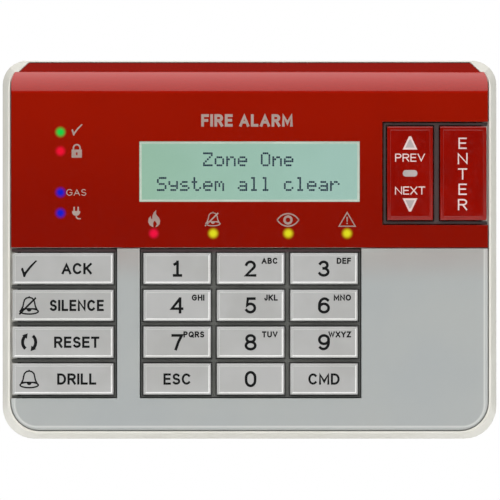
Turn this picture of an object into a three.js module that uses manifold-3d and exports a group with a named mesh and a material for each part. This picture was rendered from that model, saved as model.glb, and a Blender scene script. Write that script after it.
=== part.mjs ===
// Wall-mounted fire alarm control panel: a base plate that is screwed to the wall, and a front
// assembly that hangs on it and holds the display, the keys, the lamps and the circuit board.
// Millimetres. +X to the right, +Z up, the wall is the plane y = 0 and the front faces -Y.
import * as THREE from "three";
import { mergeVertices } from "three/addons/utils/BufferGeometryUtils.js";
import Module from "manifold-3d";

const wasm = await Module();
wasm.setup();

// ---- Overall sizes -------------------------------------------------------------------------
const WIDTH = 158; // rear outline of the housing
const HEIGHT = 121.2;
const DEPTH = 26; // from the wall to the tops of the keys
const REAR_CORNER = 10.3; // lower corners of the rear outline
const TOP_CORNER = 8; // upper corners
const SIDE_DRAFT = 1.9; // how far the sides and the bottom lean in
const DRAFT_START = -13.6; // they stand square to the wall as far as here, and lean in front of it
const TOP_DRAFT = 2;
const LIP = 0.7; // thin edge of the housing round the fascias
const LIP_DROP = 0.5; // and how far it stays behind their face
const WALL_CLEARANCE = 0.5; // housing's rear edge to the wall
const WALL = 1.8; // housing's side walls
const DECK = 1.7; // housing's front wall
const FASCIA = 2; // both fascias
const GAP = 0.3; // between pieces that touch on the real panel

// ---- Top of the red fascia -----------------------------------------------------------------
const TOP_FALL = 3.9; // the top face falls this much on its way forward
const BAND_HEIGHT = 6.7; // rounded band between the top face and the flat front
const BAND_RADIUS = 9;
const TOP_RED_INSET = 8.5; // red top face at its rear end, in from the rear outline
const TOP_RED_FLARE = 3.1; // and how much wider it is at the crease
const RED_REAR = 3.5; // rear end of the red top face, from the wall

// ---- Keys ----------------------------------------------------------------------------------
const KEY_PROUD = 0.6; // key tops in front of the fascia
const KEY_TRAVEL = 1;
const KEY_HEIGHT = 10;
const KEY_SPACE_X = 1.85; // between neighbouring number keys
const KEY_SPACE_Z = 1.76;
const ROWS = 4;
const NUMBER_WIDTH = 21.6;
const COLUMNS = 3;
const PAD_X = 0.35; // middle of the number pad
const FUNCTION_WIDTH = 32.3;
const ARROW_WIDTH = 14.7;
const ENTER_WIDTH = 14.9;
const ARROW_HEIGHT = 30;
const ARROW_Z = 24.3; // middle of the arrow and enter keys
const ARROW_SPACE = 2.2; // between those two keys
const KEY_EDGE = 3.25; // outermost keys to the rear outline
const KEY_CORNER = 0.6;
const KEY_BEVEL = 0.35;
const KEY_SKIN = 1.3; // wall of a hollow keycap
const KEY_FLANGE = 0.8; // thickness of the flange that keeps a key in
const FLANGE_REACH = 0.7; // flange beyond the cap
const POST_RADIUS = 2; // post that presses the rubber dome
const SEAM_Z = 0.45; // joint between the two fascias, and upper edge of the key recesses
const RECESS = 1.5; // key frames below the fascia's face
const RECESS_TOP = 1.6; // upper edge of a recess to its first key
const RECESS_SIDE = 1.15;
const ARROW_RECESS = 1.5;
const FRAME_BELOW = 0.8; // key frames behind the housing's front wall
const FRAME_SIDE = 1.1; // outer bar of a key frame
const LEDGE = 0.85; // front wall left standing beside the outermost frames

// ---- Display -------------------------------------------------------------------------------
const WINDOW_WIDTH = 70.4;
const WINDOW_HEIGHT = 19.3;
const WINDOW_Z = 24.85;
const WINDOW_RECESS = 0.3;
const WINDOW_FLANGE = 2.5;
const WINDOW_FLANGE_THICK = 1.2;
const BEZEL_MARGIN = 5.5; // display bezel beyond the window
const BEZEL_WALL = 1.2;
const BEZEL_LIP = 0.6;
const GLASS = 1.8;
const STRIP_HEIGHT = 2.4; // rubber contact strip under the glass

// ---- Circuit board and what it carries -----------------------------------------------------
const MAT = 1; // rubber keypad sheet
const DOME = 1.8;
const DOME_RADIUS = 3.2;
const BOARD = 1.6;
const BOARD_SIDE = 6.5; // board edges inside the rear outline
const BOARD_TOP = 10.6;
const BOARD_BOTTOM = 4.6;
const BOARD_CORNER = 5;
const BOSS_RADIUS = 3;
const BOSS_SIDE = 5.5; // boss centres inside the board's edges
const BOSS_RISE = 3.6;
const SCREW_RADIUS = 1.1;
const SCREW_HEAD = 2.4;
const SCREW_HEAD_THICK = 1.6;
const LED_SIZE = 3;
const LED_THICK = 1.8;
const PIPE_RADIUS = 1.3;
const COLUMN_LAMP_X = 18.6; // left lamps, in from the rear outline
const COLUMN_LAMPS = { led_normal: 37.5, led_security: 31.4, led_gas: 18.2, led_power: 11.6 };
const ROW_LAMP_Z = 5.1;
const ROW_LAMPS = { led_fire: -30.6, led_silenced: -11.6, led_supervisory: 12.4, led_trouble: 31.2 };

// ---- Base plate ----------------------------------------------------------------------------
const BASE = 2.2;
const BASE_RIM = 2.8; // rim above the plate
const BASE_RIM_WALL = 1.6;
const BASE_INSET = 3.6; // base inside the rear outline
const BASE_TOP = 8.1;
const BASE_CORNER = 7; // lower corners, smaller at the top
const BASE_TOP_CORNER = 3;
const ENTRY_WIDTH = 44; // wire entry
const ENTRY_HEIGHT = 24;
const ENTRY_Z = -24;
const BOX_SCREWS = 83.3; // single-gang wall box, screw to screw
const CORNER_SCREWS_X = 120;
const CORNER_SCREWS_Z = 84;
const SLOT_RADIUS = 2.2;
const SLOT_LENGTH = 8;
const HOOK_X = 44;
const HOOK_WIDTH = 8;
const HOOK_HEIGHT = 2.7;
const HANGER_THICK = 1.3; // ribs in the housing that hang in front of the hooks
const TAB_WIDTH = 10;
const TAB_LENGTH = 11;
const TAB_THICK = 1.4;
const TAB_PLAY = 1.1; // tab in front of the plate, room for it to bend
const TAB_NOSE = 1.2;
const TAB_TIP = 1.2; // tab's nose stops this far inside the housing's outer face
const TAB_SEAT = 5; // height of the block that the tab is rooted in
const NOTCH_DEPTH = 7; // notch in the housing's bottom wall, from the wall
const TAMPER_X = 52;
const TAMPER_Z = -20;
const TAMPER_TRAVEL = 1.2;
const POST_HEIGHT = 3;

// ---- Levels worked out from the sizes above (y, negative towards the front) ----------------
const FACE = KEY_PROUD - DEPTH;
const FASCIA_BACK = FACE + FASCIA;
const DECK_FRONT = FASCIA_BACK + GAP;
const DECK_BACK = DECK_FRONT + DECK;
const CAP_BACK = DECK_FRONT - GAP - KEY_TRAVEL;
const FRAME_FRONT = FACE + RECESS;
const FRAME_BACK = DECK_BACK + FRAME_BELOW;
const FLANGE_FRONT = FRAME_BACK + GAP;
const KEY_BACK = FLANGE_FRONT + KEY_FLANGE;
const DOME_FRONT = KEY_BACK + KEY_TRAVEL + GAP;
const MAT_FRONT = DOME_FRONT + DOME;
const BOARD_FRONT = MAT_FRONT + MAT + GAP;
const BOARD_BACK = BOARD_FRONT + BOARD;
const PARTS_FRONT = BOARD_BACK + GAP; // where the pieces behind the board begin
const PLATE_FRONT = -BASE;
const RIM_FRONT = PLATE_FRONT - BASE_RIM;
const OUTSIDE = 10; // cutters run this far past what they cut
const SIDE_WINDOW = WIDTH / 2 - SIDE_DRAFT - WALL - LEDGE; // edge of the outermost deck windows
const STEM_SIDE = SIDE_WINDOW - GAP - FRAME_SIDE - GAP; // outer side of a stem beside the wall
const LIP_SIDE = WIDTH / 2 - KEY_EDGE + 0.2; // frame bars run this far out between the keys
const FUNCTION_X = -(WIDTH / 2 - KEY_EDGE - FUNCTION_WIDTH / 2);
const ENTER_X = WIDTH / 2 - KEY_EDGE - ENTER_WIDTH / 2;
const ARROW_X = ENTER_X - ENTER_WIDTH / 2 - ARROW_SPACE - ARROW_WIDTH / 2;
const FIRST_ROW_Z = SEAM_Z - RECESS_TOP - KEY_HEIGHT / 2;
const NUMBER_PITCH = NUMBER_WIDTH + KEY_SPACE_X;
const KEY_PITCH_Z = KEY_HEIGHT + KEY_SPACE_Z;
const BOARD_EDGE = WIDTH / 2 - BOARD_SIDE;
const BOARD_LOW = -HEIGHT / 2 + BOARD_BOTTOM;
const BOARD_HIGH = HEIGHT / 2 - BOARD_TOP;

// ---- Finishes ------------------------------------------------------------------------------
const finish = (color, roughness, metalness = 0) =>
  new THREE.MeshStandardMaterial({ color, roughness, metalness });
const WHITE_PLASTIC = finish(0xd3d1c9, 0.45);
const RED_GLOSS = finish(0x8f1402, 0.15);
const GREY_GLOSS = finish(0xb3b6b3, 0.22);
const KEY_GREY = finish(0xbbbbb8, 0.35);
const KEY_RED = finish(0x861106, 0.25);
const DARK_PLASTIC = finish(0x3f3f3c, 0.6);
const CLEAR = finish(0xdfe8e2, 0.05);
const DISPLAY_GREEN = finish(0x97bca6, 0.3);
const LIGHT_GUIDE = finish(0xeef0ea, 0.2);
const RUBBER = finish(0x8c8f90, 0.9);
const BOARD_GREEN = finish(0x1f5a33, 0.5);
const STEEL = finish(0xb4b6b8, 0.3, 1);
const TERMINAL_GREEN = finish(0x2f7d4a, 0.5);
const BLACK_PLASTIC = finish(0x1d1d1e, 0.5);
const BLUE_PLASTIC = finish(0x27508f, 0.5);
const LAMPS = {
  led_normal: finish(0x1ec850, 0.2),
  led_security: finish(0xe60035, 0.2),
  led_gas: finish(0x1414be, 0.2),
  led_power: finish(0x1414be, 0.2),
  led_fire: finish(0xe60c3e, 0.2),
  led_silenced: finish(0xe6d21e, 0.2),
  led_supervisory: finish(0xe6d21e, 0.2),
  led_trouble: finish(0xe6d21e, 0.2),
};

// ---- Solids --------------------------------------------------------------------------------
function solidOf(geometry) {
  const bare = geometry.index ? geometry.toNonIndexed() : geometry;
  bare.deleteAttribute("normal");
  bare.deleteAttribute("uv");
  const merged = mergeVertices(bare, 1e-4);
  const data = { numProp: 3, vertProperties: merged.attributes.position.array };
  data.triVerts = new Uint32Array(merged.index.array);
  return new wasm.Manifold(new wasm.Mesh(data));
}

// Rectangle with round corners, in x and z.
function outline(left, right, low, high, lowRadius = 0, highRadius = lowRadius, steps = 8) {
  const corners = [
    [right, low, lowRadius, -90],
    [right, high, highRadius, 0],
    [left, high, highRadius, 90],
    [left, low, lowRadius, 180],
  ];
  return corners.flatMap(([x, z, radius, start]) => {
    if (!radius) return [new THREE.Vector2(x, z)];
    const centreX = x - Math.sign(x - left - (right - left) / 2) * radius;
    const centreZ = z - Math.sign(z - low - (high - low) / 2) * radius;
    return Array.from({ length: steps + 1 }, (_, i) => {
      const angle = THREE.MathUtils.degToRad(start + (90 * i) / steps);
      return new THREE.Vector2(
        centreX + radius * Math.cos(angle),
        centreZ + radius * Math.sin(angle),
      );
    });
  });
}

const around = (x, z, width, height, radius = 0, steps = 3) =>
  outline(x - width / 2, x + width / 2, z - height / 2, z + height / 2, radius, radius, steps);

// A flat outline in x and z made a solid from y = back to y = front. An edge radius rounds both ends.
function plate(points, back, front, edge = 0) {
  const options = { depth: back - front - 2 * edge, bevelEnabled: edge > 0, bevelSegments: 2 };
  options.bevelThickness = edge;
  options.bevelSize = edge;
  options.bevelOffset = -edge;
  const geometry = new THREE.ExtrudeGeometry(new THREE.Shape(points), options);
  return solidOf(geometry.rotateX(Math.PI / 2).translate(0, back - edge, 0));
}

const block = (left, right, back, front, low, high) =>
  plate(outline(left, right, low, high), back, front);

// A round bar along y.
function rod(x, z, radius, back, front, sides = 16) {
  const geometry = new THREE.CylinderGeometry(radius, radius, back - front, sides);
  return solidOf(geometry.translate(x, (back + front) / 2, z));
}

// An outline in y and z made a solid right across the panel.
function across(points, halfWidth = WIDTH) {
  const geometry = new THREE.ExtrudeGeometry(
    new THREE.Shape(points.map(([y, z]) => new THREE.Vector2(y, z))),
    { depth: 2 * halfWidth, bevelEnabled: false },
  );
  const turn = new THREE.Matrix4().makeBasis(
    new THREE.Vector3(0, 1, 0),
    new THREE.Vector3(0, 0, 1),
    new THREE.Vector3(1, 0, 0),
  );
  return solidOf(geometry.applyMatrix4(turn).translate(-halfWidth, 0, 0));
}

// An outline in x and y made a solid over the panel's whole height.
function upright(points, low, high) {
  const shape = new THREE.Shape(points.map(([x, y]) => new THREE.Vector2(x, y)));
  const geometry = new THREE.ExtrudeGeometry(shape, { depth: high - low, bevelEnabled: false });
  return solidOf(geometry.translate(0, 0, low));
}

const joined = (solids) => solids.reduce((whole, solid) => whole.add(solid));
const cutBy = (solid, cutters) => cutters.reduce((rest, cutter) => rest.subtract(cutter), solid);

const group = new THREE.Group();

function piece(name, solid, material) {
  const { vertProperties, triVerts } = solid.getMesh();
  const geometry = new THREE.BufferGeometry();
  geometry.setAttribute("position", new THREE.BufferAttribute(vertProperties, 3));
  geometry.setIndex(new THREE.BufferAttribute(triVerts, 1));
  geometry.computeVertexNormals();
  const mesh = new THREE.Mesh(geometry, material);
  mesh.name = name;
  group.add(mesh);
}

// ---- Outer form ----------------------------------------------------------------------------
// The body between wall and front, or the space inside it: square to the wall behind, drafted in
// front. The top's inset is its own, because the red fascia breaks through there.
function draftedBody(inset, back, front, topInset = inset) {
  const points = outline(
    inset - WIDTH / 2,
    WIDTH / 2 - inset,
    inset - HEIGHT / 2,
    HEIGHT / 2 - topInset,
    REAR_CORNER - inset,
    TOP_CORNER - inset,
  );
  const leaning = new THREE.ExtrudeGeometry(new THREE.Shape(points), {
    depth: DRAFT_START - front,
    bevelEnabled: false,
  });
  leaning.rotateX(Math.PI / 2).translate(0, DRAFT_START, 0);
  const place = leaning.attributes.position;
  const leanZ = (SIDE_DRAFT + TOP_DRAFT) / HEIGHT;
  for (let i = 0; i < place.count; i++) {
    const share = (DRAFT_START - place.getY(i)) / (DRAFT_START - FACE);
    const lift = ((SIDE_DRAFT - TOP_DRAFT) / 2) * share;
    place.setX(i, place.getX(i) * (1 - (share * 2 * SIDE_DRAFT) / WIDTH));
    place.setZ(i, place.getZ(i) * (1 - share * leanZ) + lift);
  }
  return plate(points, back, DRAFT_START).add(solidOf(leaning));
}

// Everything behind the front's side profile: the flat face, the rounded band above it and the
// sloping top, all moved inwards by a depth.
const CREASE_TURN = Math.asin(BAND_HEIGHT / BAND_RADIUS);
const CREASE_Y = FACE + BAND_RADIUS * (1 - Math.cos(CREASE_TURN));
const CREASE_Z = HEIGHT / 2 - TOP_FALL;
const BAND_Z = CREASE_Z - BAND_HEIGHT;

function crown(inwards) {
  const radius = BAND_RADIUS - inwards;
  const steps = 10;
  const front = [
    [OUTSIDE, -HEIGHT],
    [FACE + inwards, -HEIGHT],
  ];
  for (let i = 0; i <= steps; i++) {
    const turn = (CREASE_TURN * i) / steps;
    const y = FACE + BAND_RADIUS - radius * Math.cos(turn);
    front.push([y, BAND_Z + radius * Math.sin(turn)]);
  }
  const [lastY, lastZ] = front.at(-1);
  const rise = 2 * OUTSIDE;
  front.push([lastY + rise * Math.sin(CREASE_TURN), lastZ + rise * Math.cos(CREASE_TURN)]);
  front.push([OUTSIDE, lastZ + rise * Math.cos(CREASE_TURN)]);
  const slope = TOP_FALL / -CREASE_Y;
  const drop = inwards * Math.hypot(1, slope);
  const topAt = (y) => HEIGHT / 2 - drop + slope * y;
  const top = [
    [OUTSIDE, -HEIGHT],
    [OUTSIDE, topAt(OUTSIDE)],
    [-DEPTH - OUTSIDE, topAt(-DEPTH - OUTSIDE)],
    [-DEPTH - OUTSIDE, -HEIGHT],
  ];
  return across(front).intersect(across(top));
}

const housingForm = draftedBody(0, -WALL_CLEARANCE, FACE + LIP_DROP).intersect(crown(0));
const fasciaForm = draftedBody(LIP + GAP, -WALL_CLEARANCE, FACE, 0).intersect(crown(0));

// Where the red fascia lies, seen from above: the whole front, and a tapering part of the top.
function redPlan(growth) {
  const rear = WIDTH / 2 - TOP_RED_INSET + growth;
  const crease = rear + TOP_RED_FLARE;
  const side = WIDTH;
  const points = [
    [-side, -DEPTH - OUTSIDE],
    [side, -DEPTH - OUTSIDE],
    [side, CREASE_Y + growth],
    [crease, CREASE_Y + growth],
    [rear, -RED_REAR + growth],
    [-rear, -RED_REAR + growth],
    [-crease, CREASE_Y + growth],
    [-side, CREASE_Y + growth],
  ];
  return upright(points, -HEIGHT, HEIGHT);
}

// ---- Places of the keys --------------------------------------------------------------------
const rowZ = (row) => FIRST_ROW_Z - row * KEY_PITCH_Z;
const NUMBER_NAMES = [
  ["key_1", "key_2", "key_3"],
  ["key_4", "key_5", "key_6"],
  ["key_7", "key_8", "key_9"],
  ["key_escape", "key_0", "key_command"],
];
const FUNCTION_NAMES = ["key_acknowledge", "key_silence", "key_reset", "key_drill"];

// Each key: its middle, its cap, and the stem behind the cap, which stops short of the side wall.
function keyAt(name, x, z, width, height) {
  const left = x - width / 2;
  const right = x + width / 2;
  const stemLeft = Math.max(left, -STEM_SIDE);
  const stemRight = Math.min(right, STEM_SIDE);
  const stemX = (stemLeft + stemRight) / 2;
  return { name, x, z, width, height, stemX, stemWidth: stemRight - stemLeft };
}

const numberKeys = NUMBER_NAMES.flatMap((names, row) =>
  names.map((name, column) => {
    const x = PAD_X + (column - (COLUMNS - 1) / 2) * NUMBER_PITCH;
    return keyAt(name, x, rowZ(row), NUMBER_WIDTH, KEY_HEIGHT);
  }),
);
const functionKeys = FUNCTION_NAMES.map((name, row) =>
  keyAt(name, FUNCTION_X, rowZ(row), FUNCTION_WIDTH, KEY_HEIGHT),
);
const arrowKey = keyAt("key_previous_next", ARROW_X, ARROW_Z, ARROW_WIDTH, ARROW_HEIGHT);
const enterKey = keyAt("key_enter", ENTER_X, ARROW_Z, ENTER_WIDTH, ARROW_HEIGHT);
const slidingKeys = [...numberKeys, ...functionKeys, enterKey];

// Recesses in the fascias that the key frames lie in.
const PAD_LOW = rowZ(ROWS - 1) - KEY_HEIGHT / 2 - RECESS_SIDE;
const PAD_HALF = ((COLUMNS - 1) * NUMBER_PITCH + NUMBER_WIDTH) / 2 + RECESS_SIDE;
const numberRecess = { left: PAD_X - PAD_HALF, right: PAD_X + PAD_HALF, low: PAD_LOW, high: SEAM_Z };
const functionRecess = {
  left: -SIDE_WINDOW,
  right: FUNCTION_X + FUNCTION_WIDTH / 2 + RECESS_SIDE,
  low: PAD_LOW,
  high: SEAM_Z,
};
const arrowRecess = {
  left: ARROW_X - ARROW_WIDTH / 2 - ARROW_RECESS,
  right: SIDE_WINDOW,
  low: ARROW_Z - ARROW_HEIGHT / 2 - ARROW_RECESS,
  high: ARROW_Z + ARROW_HEIGHT / 2 + ARROW_RECESS,
};
const recessCut = ({ left, right, low, high }, back, front) =>
  block(left, right, back, front, low, high);

// ---- Housing and fascias -------------------------------------------------------------------
const columnLampX = COLUMN_LAMP_X - WIDTH / 2;
const lampPlaces = [
  ...Object.entries(COLUMN_LAMPS).map(([name, z]) => ({ name, x: columnLampX, z })),
  ...Object.entries(ROW_LAMPS).map(([name, x]) => ({ name, x, z: ROW_LAMP_Z })),
];
const bossPlaces = [-1, 1].flatMap((side) => [
  { x: side * (BOARD_EDGE - BOSS_SIDE), z: BOARD_HIGH - BOSS_RISE },
  { x: side * (BOARD_EDGE - BOSS_SIDE), z: BOARD_LOW + BOSS_RISE },
]);
const SOUNDER = { x: 38, z: -36, radius: 7, thick: 5.5, port: 1.2 };
const SOUND_SLOTS = 5;
const SOUND_SLOT_WIDTH = 1.2;
const SOUND_SLOT_PITCH = 3;
const INSIDE_TOP = FASCIA + GAP + DECK;

function frontHousing() {
  const pocket = redPlan(GAP)
    .subtract(crown(FASCIA + GAP))
    .intersect(draftedBody(LIP, OUTSIDE, -DEPTH - OUTSIDE, -OUTSIDE));
  const hollow = draftedBody(WALL, OUTSIDE, DECK_BACK).intersect(crown(INSIDE_TOP));
  const displayHole = plate(
    around(0, WINDOW_Z, WINDOW_WIDTH + 2 * WINDOW_FLANGE, WINDOW_HEIGHT + 2 * WINDOW_FLANGE),
    DECK_BACK + OUTSIDE,
    -DEPTH - OUTSIDE,
  );
  const pipeHoles = lampPlaces.map(({ x, z }) =>
    rod(x, z, PIPE_RADIUS + GAP, DECK_BACK + 1, -DEPTH - OUTSIDE, 12),
  );
  const recesses = [numberRecess, functionRecess, arrowRecess].map((recess) =>
    recessCut(recess, DECK_BACK + 1, -DEPTH - OUTSIDE),
  );
  const notch = block(
    -TAB_WIDTH / 2 - 2 * GAP,
    TAB_WIDTH / 2 + 2 * GAP,
    OUTSIDE,
    -NOTCH_DEPTH,
    -HEIGHT,
    -HEIGHT / 2 + OUTSIDE,
  );
  const slots = Array.from({ length: SOUND_SLOTS }, (_, i) => {
    const left = SOUNDER.x + (i - (SOUND_SLOTS - 1) / 2) * SOUND_SLOT_PITCH - SOUND_SLOT_WIDTH / 2;
    const back = PARTS_FRONT + SOUNDER.thick;
    return block(left, left + SOUND_SLOT_WIDTH, back, PARTS_FRONT, -HEIGHT, BOARD_LOW - GAP);
  });
  const shell = cutBy(housingForm, [pocket, hollow]);
  const bosses = bossPlaces.map(({ x, z }) =>
    rod(x, z, BOSS_RADIUS, BOARD_FRONT - GAP, DECK_BACK - DECK / 2),
  );
  const hangers = [-1, 1].map((side) => {
    const left = side * HOOK_X - HOOK_WIDTH / 2 - 1;
    const back = RIM_FRONT - GAP;
    const front = back - HANGER_THICK;
    const bottom = HEIGHT / 2 - BASE_TOP + HOOK_HEIGHT / 2;
    return block(left, left + HOOK_WIDTH + 2, back, front, bottom, HEIGHT / 2 - INSIDE_TOP);
  });
  const drilled = bossPlaces.map(({ x, z }) =>
    rod(x, z, SCREW_RADIUS + GAP, BOARD_FRONT, DECK_BACK + GAP, 12),
  );
  const whole = joined([shell, ...bosses, ...hangers]);
  return cutBy(whole, [displayHole, ...pipeHoles, ...recesses, notch, ...slots, ...drilled]);
}

function upperFascia() {
  const shell = fasciaForm.subtract(crown(FASCIA)).intersect(redPlan(0));
  const below = block(-WIDTH, WIDTH, OUTSIDE, -DEPTH - OUTSIDE, -HEIGHT, SEAM_Z + GAP / 2);
  const windowHole = plate(
    around(0, WINDOW_Z, WINDOW_WIDTH, WINDOW_HEIGHT),
    OUTSIDE,
    -DEPTH - OUTSIDE,
  );
  const keyHole = recessCut({ ...arrowRecess, right: WIDTH }, OUTSIDE, -DEPTH - OUTSIDE);
  return cutBy(shell, [below, windowHole, keyHole]);
}

function lowerFascia() {
  const front = block(-WIDTH, WIDTH, FASCIA_BACK, FACE - OUTSIDE, -HEIGHT, SEAM_Z - GAP / 2);
  const padHole = recessCut({ ...numberRecess, high: HEIGHT }, OUTSIDE, -DEPTH - OUTSIDE);
  const sideHole = recessCut(
    { ...functionRecess, left: -WIDTH, high: HEIGHT },
    OUTSIDE,
    -DEPTH - OUTSIDE,
  );
  return cutBy(fasciaForm.intersect(front), [padHole, sideHole]);
}

piece("front_housing", frontHousing(), WHITE_PLASTIC);
piece("upper_fascia", upperFascia(), RED_GLOSS);
piece("lower_fascia", lowerFascia(), GREY_GLOSS);

// ---- Key frames ----------------------------------------------------------------------------
// A thin lip in front of the housing's front wall and a body through it, open for each key.
function keyFrame(recess, keys, lipLeft, lipRight) {
  const { left, right, low, high } = recess;
  const lip = block(lipLeft, lipRight, FASCIA_BACK, FRAME_FRONT, low + GAP, high - GAP);
  const body = block(left + GAP, right - GAP, FRAME_BACK, FASCIA_BACK, low + GAP, high - GAP);
  const capHoles = keys.map((key) =>
    plate(around(key.x, key.z, key.width + 2 * GAP, key.height + 2 * GAP), DECK_FRONT, -DEPTH),
  );
  const stemHoles = keys.map((key) =>
    plate(around(key.stemX, key.z, key.stemWidth + 2 * GAP, key.height + 2 * GAP), 0, -DEPTH),
  );
  return cutBy(lip.add(body), [...capHoles, ...stemHoles]);
}

piece(
  "number_key_frame",
  keyFrame(numberRecess, numberKeys, numberRecess.left + GAP, numberRecess.right - GAP),
  DARK_PLASTIC,
);
piece(
  "function_key_frame",
  keyFrame(functionRecess, functionKeys, -LIP_SIDE, functionRecess.right - GAP),
  DARK_PLASTIC,
);
piece(
  "arrow_key_frame",
  keyFrame(arrowRecess, [arrowKey, enterKey], arrowRecess.left + GAP, LIP_SIDE),
  DARK_PLASTIC,
);

// ---- Keys ----------------------------------------------------------------------------------
const KEY_TOP_INSIDE = CAP_BACK + GAP; // hollow of a cap ends here, under its solid top

function keyBody({ x, z, width, height, stemX, stemWidth }) {
  const cap = plate(around(x, z, width, height, KEY_CORNER), CAP_BACK, -DEPTH, KEY_BEVEL);
  const stem = plate(around(stemX, z, stemWidth, height), FLANGE_FRONT, CAP_BACK - KEY_BEVEL);
  return cap.add(stem);
}

function post(x, z) {
  return rod(x, z, POST_RADIUS, KEY_BACK, KEY_TOP_INSIDE - GAP, 8);
}

function slidingKey(key) {
  const { stemX, z, stemWidth, height } = key;
  const flange = plate(
    around(stemX, z, stemWidth + 2 * FLANGE_REACH, height + 2 * FLANGE_REACH),
    KEY_BACK,
    FLANGE_FRONT,
  );
  const hollow = plate(
    around(stemX, z, stemWidth - 2 * KEY_SKIN, height - 2 * KEY_SKIN),
    KEY_BACK + 1,
    KEY_TOP_INSIDE,
  );
  return keyBody(key).add(flange).subtract(hollow).add(post(stemX, z));
}

// The arrow key rocks about its middle: short tabs there keep it in, and a post at each end
// presses its own dome.
const ROCK_POST = ARROW_HEIGHT / 2 - 5;
const ROCK_TAB = 3;

function rockingKey(key) {
  const { stemX, z, stemWidth, height } = key;
  const tabs = plate(
    around(stemX, z, stemWidth + 2 * FLANGE_REACH, 2 * ROCK_TAB),
    KEY_BACK,
    FLANGE_FRONT,
  );
  const hollow = plate(
    around(stemX, z, stemWidth - 2 * KEY_SKIN, height - 2 * KEY_SKIN),
    KEY_BACK + 1,
    KEY_TOP_INSIDE,
  );
  const web = plate(around(stemX, z, stemWidth, 2 * KEY_SKIN), KEY_BACK, KEY_TOP_INSIDE - GAP);
  const posts = [-1, 1].map((side) => post(stemX, z + side * ROCK_POST));
  const shell = keyBody(key).add(tabs).subtract(hollow);
  return joined([shell, web, ...posts]);
}

for (const key of slidingKeys) piece(key.name, slidingKey(key), key === enterKey ? KEY_RED : KEY_GREY);
piece(arrowKey.name, rockingKey(arrowKey), KEY_RED);

// ---- Rubber mat with a dome under each post ------------------------------------------------
function keypadMat() {
  const margin = 1.5;
  const low = PAD_LOW - margin;
  const sheet = block(-STEM_SIDE, STEM_SIDE, MAT_FRONT + MAT, MAT_FRONT, low, SEAM_Z);
  const wing = block(
    ARROW_X - ARROW_WIDTH / 2,
    STEM_SIDE,
    MAT_FRONT + MAT,
    MAT_FRONT,
    0,
    ARROW_Z + ARROW_HEIGHT / 2,
  );
  const posts = [
    ...slidingKeys.map((key) => [key.stemX, key.z]),
    ...[-1, 1].map((side) => [arrowKey.stemX, ARROW_Z + side * ROCK_POST]),
  ];
  const domes = posts.map(([x, z]) => rod(x, z, DOME_RADIUS, MAT_FRONT + MAT / 2, DOME_FRONT, 10));
  return joined([sheet, wing, ...domes]);
}

piece("keypad_mat", keypadMat(), RUBBER);

// ---- Display -------------------------------------------------------------------------------
const BEZEL_FRONT = DECK_BACK + GAP;
const BEZEL_WIDTH = WINDOW_WIDTH + 2 * BEZEL_MARGIN;
const BEZEL_HEIGHT = WINDOW_HEIGHT + 2 * BEZEL_MARGIN;
const GLASS_FRONT = BEZEL_FRONT + BEZEL_LIP + GAP;
const GLASS_BACK = GLASS_FRONT + GLASS;
const INSERT_WIDTH = BEZEL_WIDTH - 2 * (BEZEL_WALL + GAP);
const INSERT_HEIGHT = BEZEL_HEIGHT - 2 * (BEZEL_WALL + GAP);
const INSERT_LOW = WINDOW_Z - INSERT_HEIGHT / 2;
const DISPLAY_BACK = BOARD_FRONT - GAP;

function displayWindow() {
  const pane = plate(
    around(0, WINDOW_Z, WINDOW_WIDTH - 2 * GAP, WINDOW_HEIGHT - 2 * GAP),
    DECK_FRONT,
    FACE + WINDOW_RECESS,
  );
  const reach = 2 * (WINDOW_FLANGE - GAP);
  const flange = plate(
    around(0, WINDOW_Z, WINDOW_WIDTH + reach, WINDOW_HEIGHT + reach),
    DECK_FRONT + WINDOW_FLANGE_THICK,
    DECK_FRONT,
  );
  return pane.add(flange);
}

function displayBezel() {
  const outer = plate(around(0, WINDOW_Z, BEZEL_WIDTH, BEZEL_HEIGHT), DISPLAY_BACK, BEZEL_FRONT);
  const inner = plate(
    around(0, WINDOW_Z, BEZEL_WIDTH - 2 * BEZEL_WALL, BEZEL_HEIGHT - 2 * BEZEL_WALL),
    DISPLAY_BACK + 1,
    BEZEL_FRONT + BEZEL_LIP,
  );
  const view = plate(
    around(0, WINDOW_Z, WINDOW_WIDTH + 2, WINDOW_HEIGHT + 2),
    DISPLAY_BACK + 1,
    BEZEL_FRONT - 1,
  );
  return cutBy(outer, [inner, view]);
}

const insert = (back, front, low, high) =>
  block(-INSERT_WIDTH / 2, INSERT_WIDTH / 2, back, front, low, high);

piece("display_window", displayWindow(), CLEAR);
piece("display_bezel", displayBezel(), STEEL);
piece(
  "display_glass",
  insert(GLASS_BACK, GLASS_FRONT, INSERT_LOW, INSERT_LOW + INSERT_HEIGHT),
  DISPLAY_GREEN,
);
piece(
  "display_backlight",
  insert(
    DISPLAY_BACK,
    GLASS_BACK + GAP,
    INSERT_LOW + STRIP_HEIGHT + GAP,
    INSERT_LOW + INSERT_HEIGHT,
  ),
  LIGHT_GUIDE,
);
piece(
  "display_contact_strip",
  insert(DISPLAY_BACK, GLASS_BACK + GAP, INSERT_LOW, INSERT_LOW + STRIP_HEIGHT),
  RUBBER,
);

// ---- Lamps and the light guides in front of them -------------------------------------------
const LED_FRONT = BOARD_FRONT - GAP - LED_THICK;

for (const { name, x, z } of lampPlaces) {
  piece(name, plate(around(x, z, LED_SIZE, LED_SIZE), BOARD_FRONT - GAP, LED_FRONT), LAMPS[name]);
}

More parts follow.
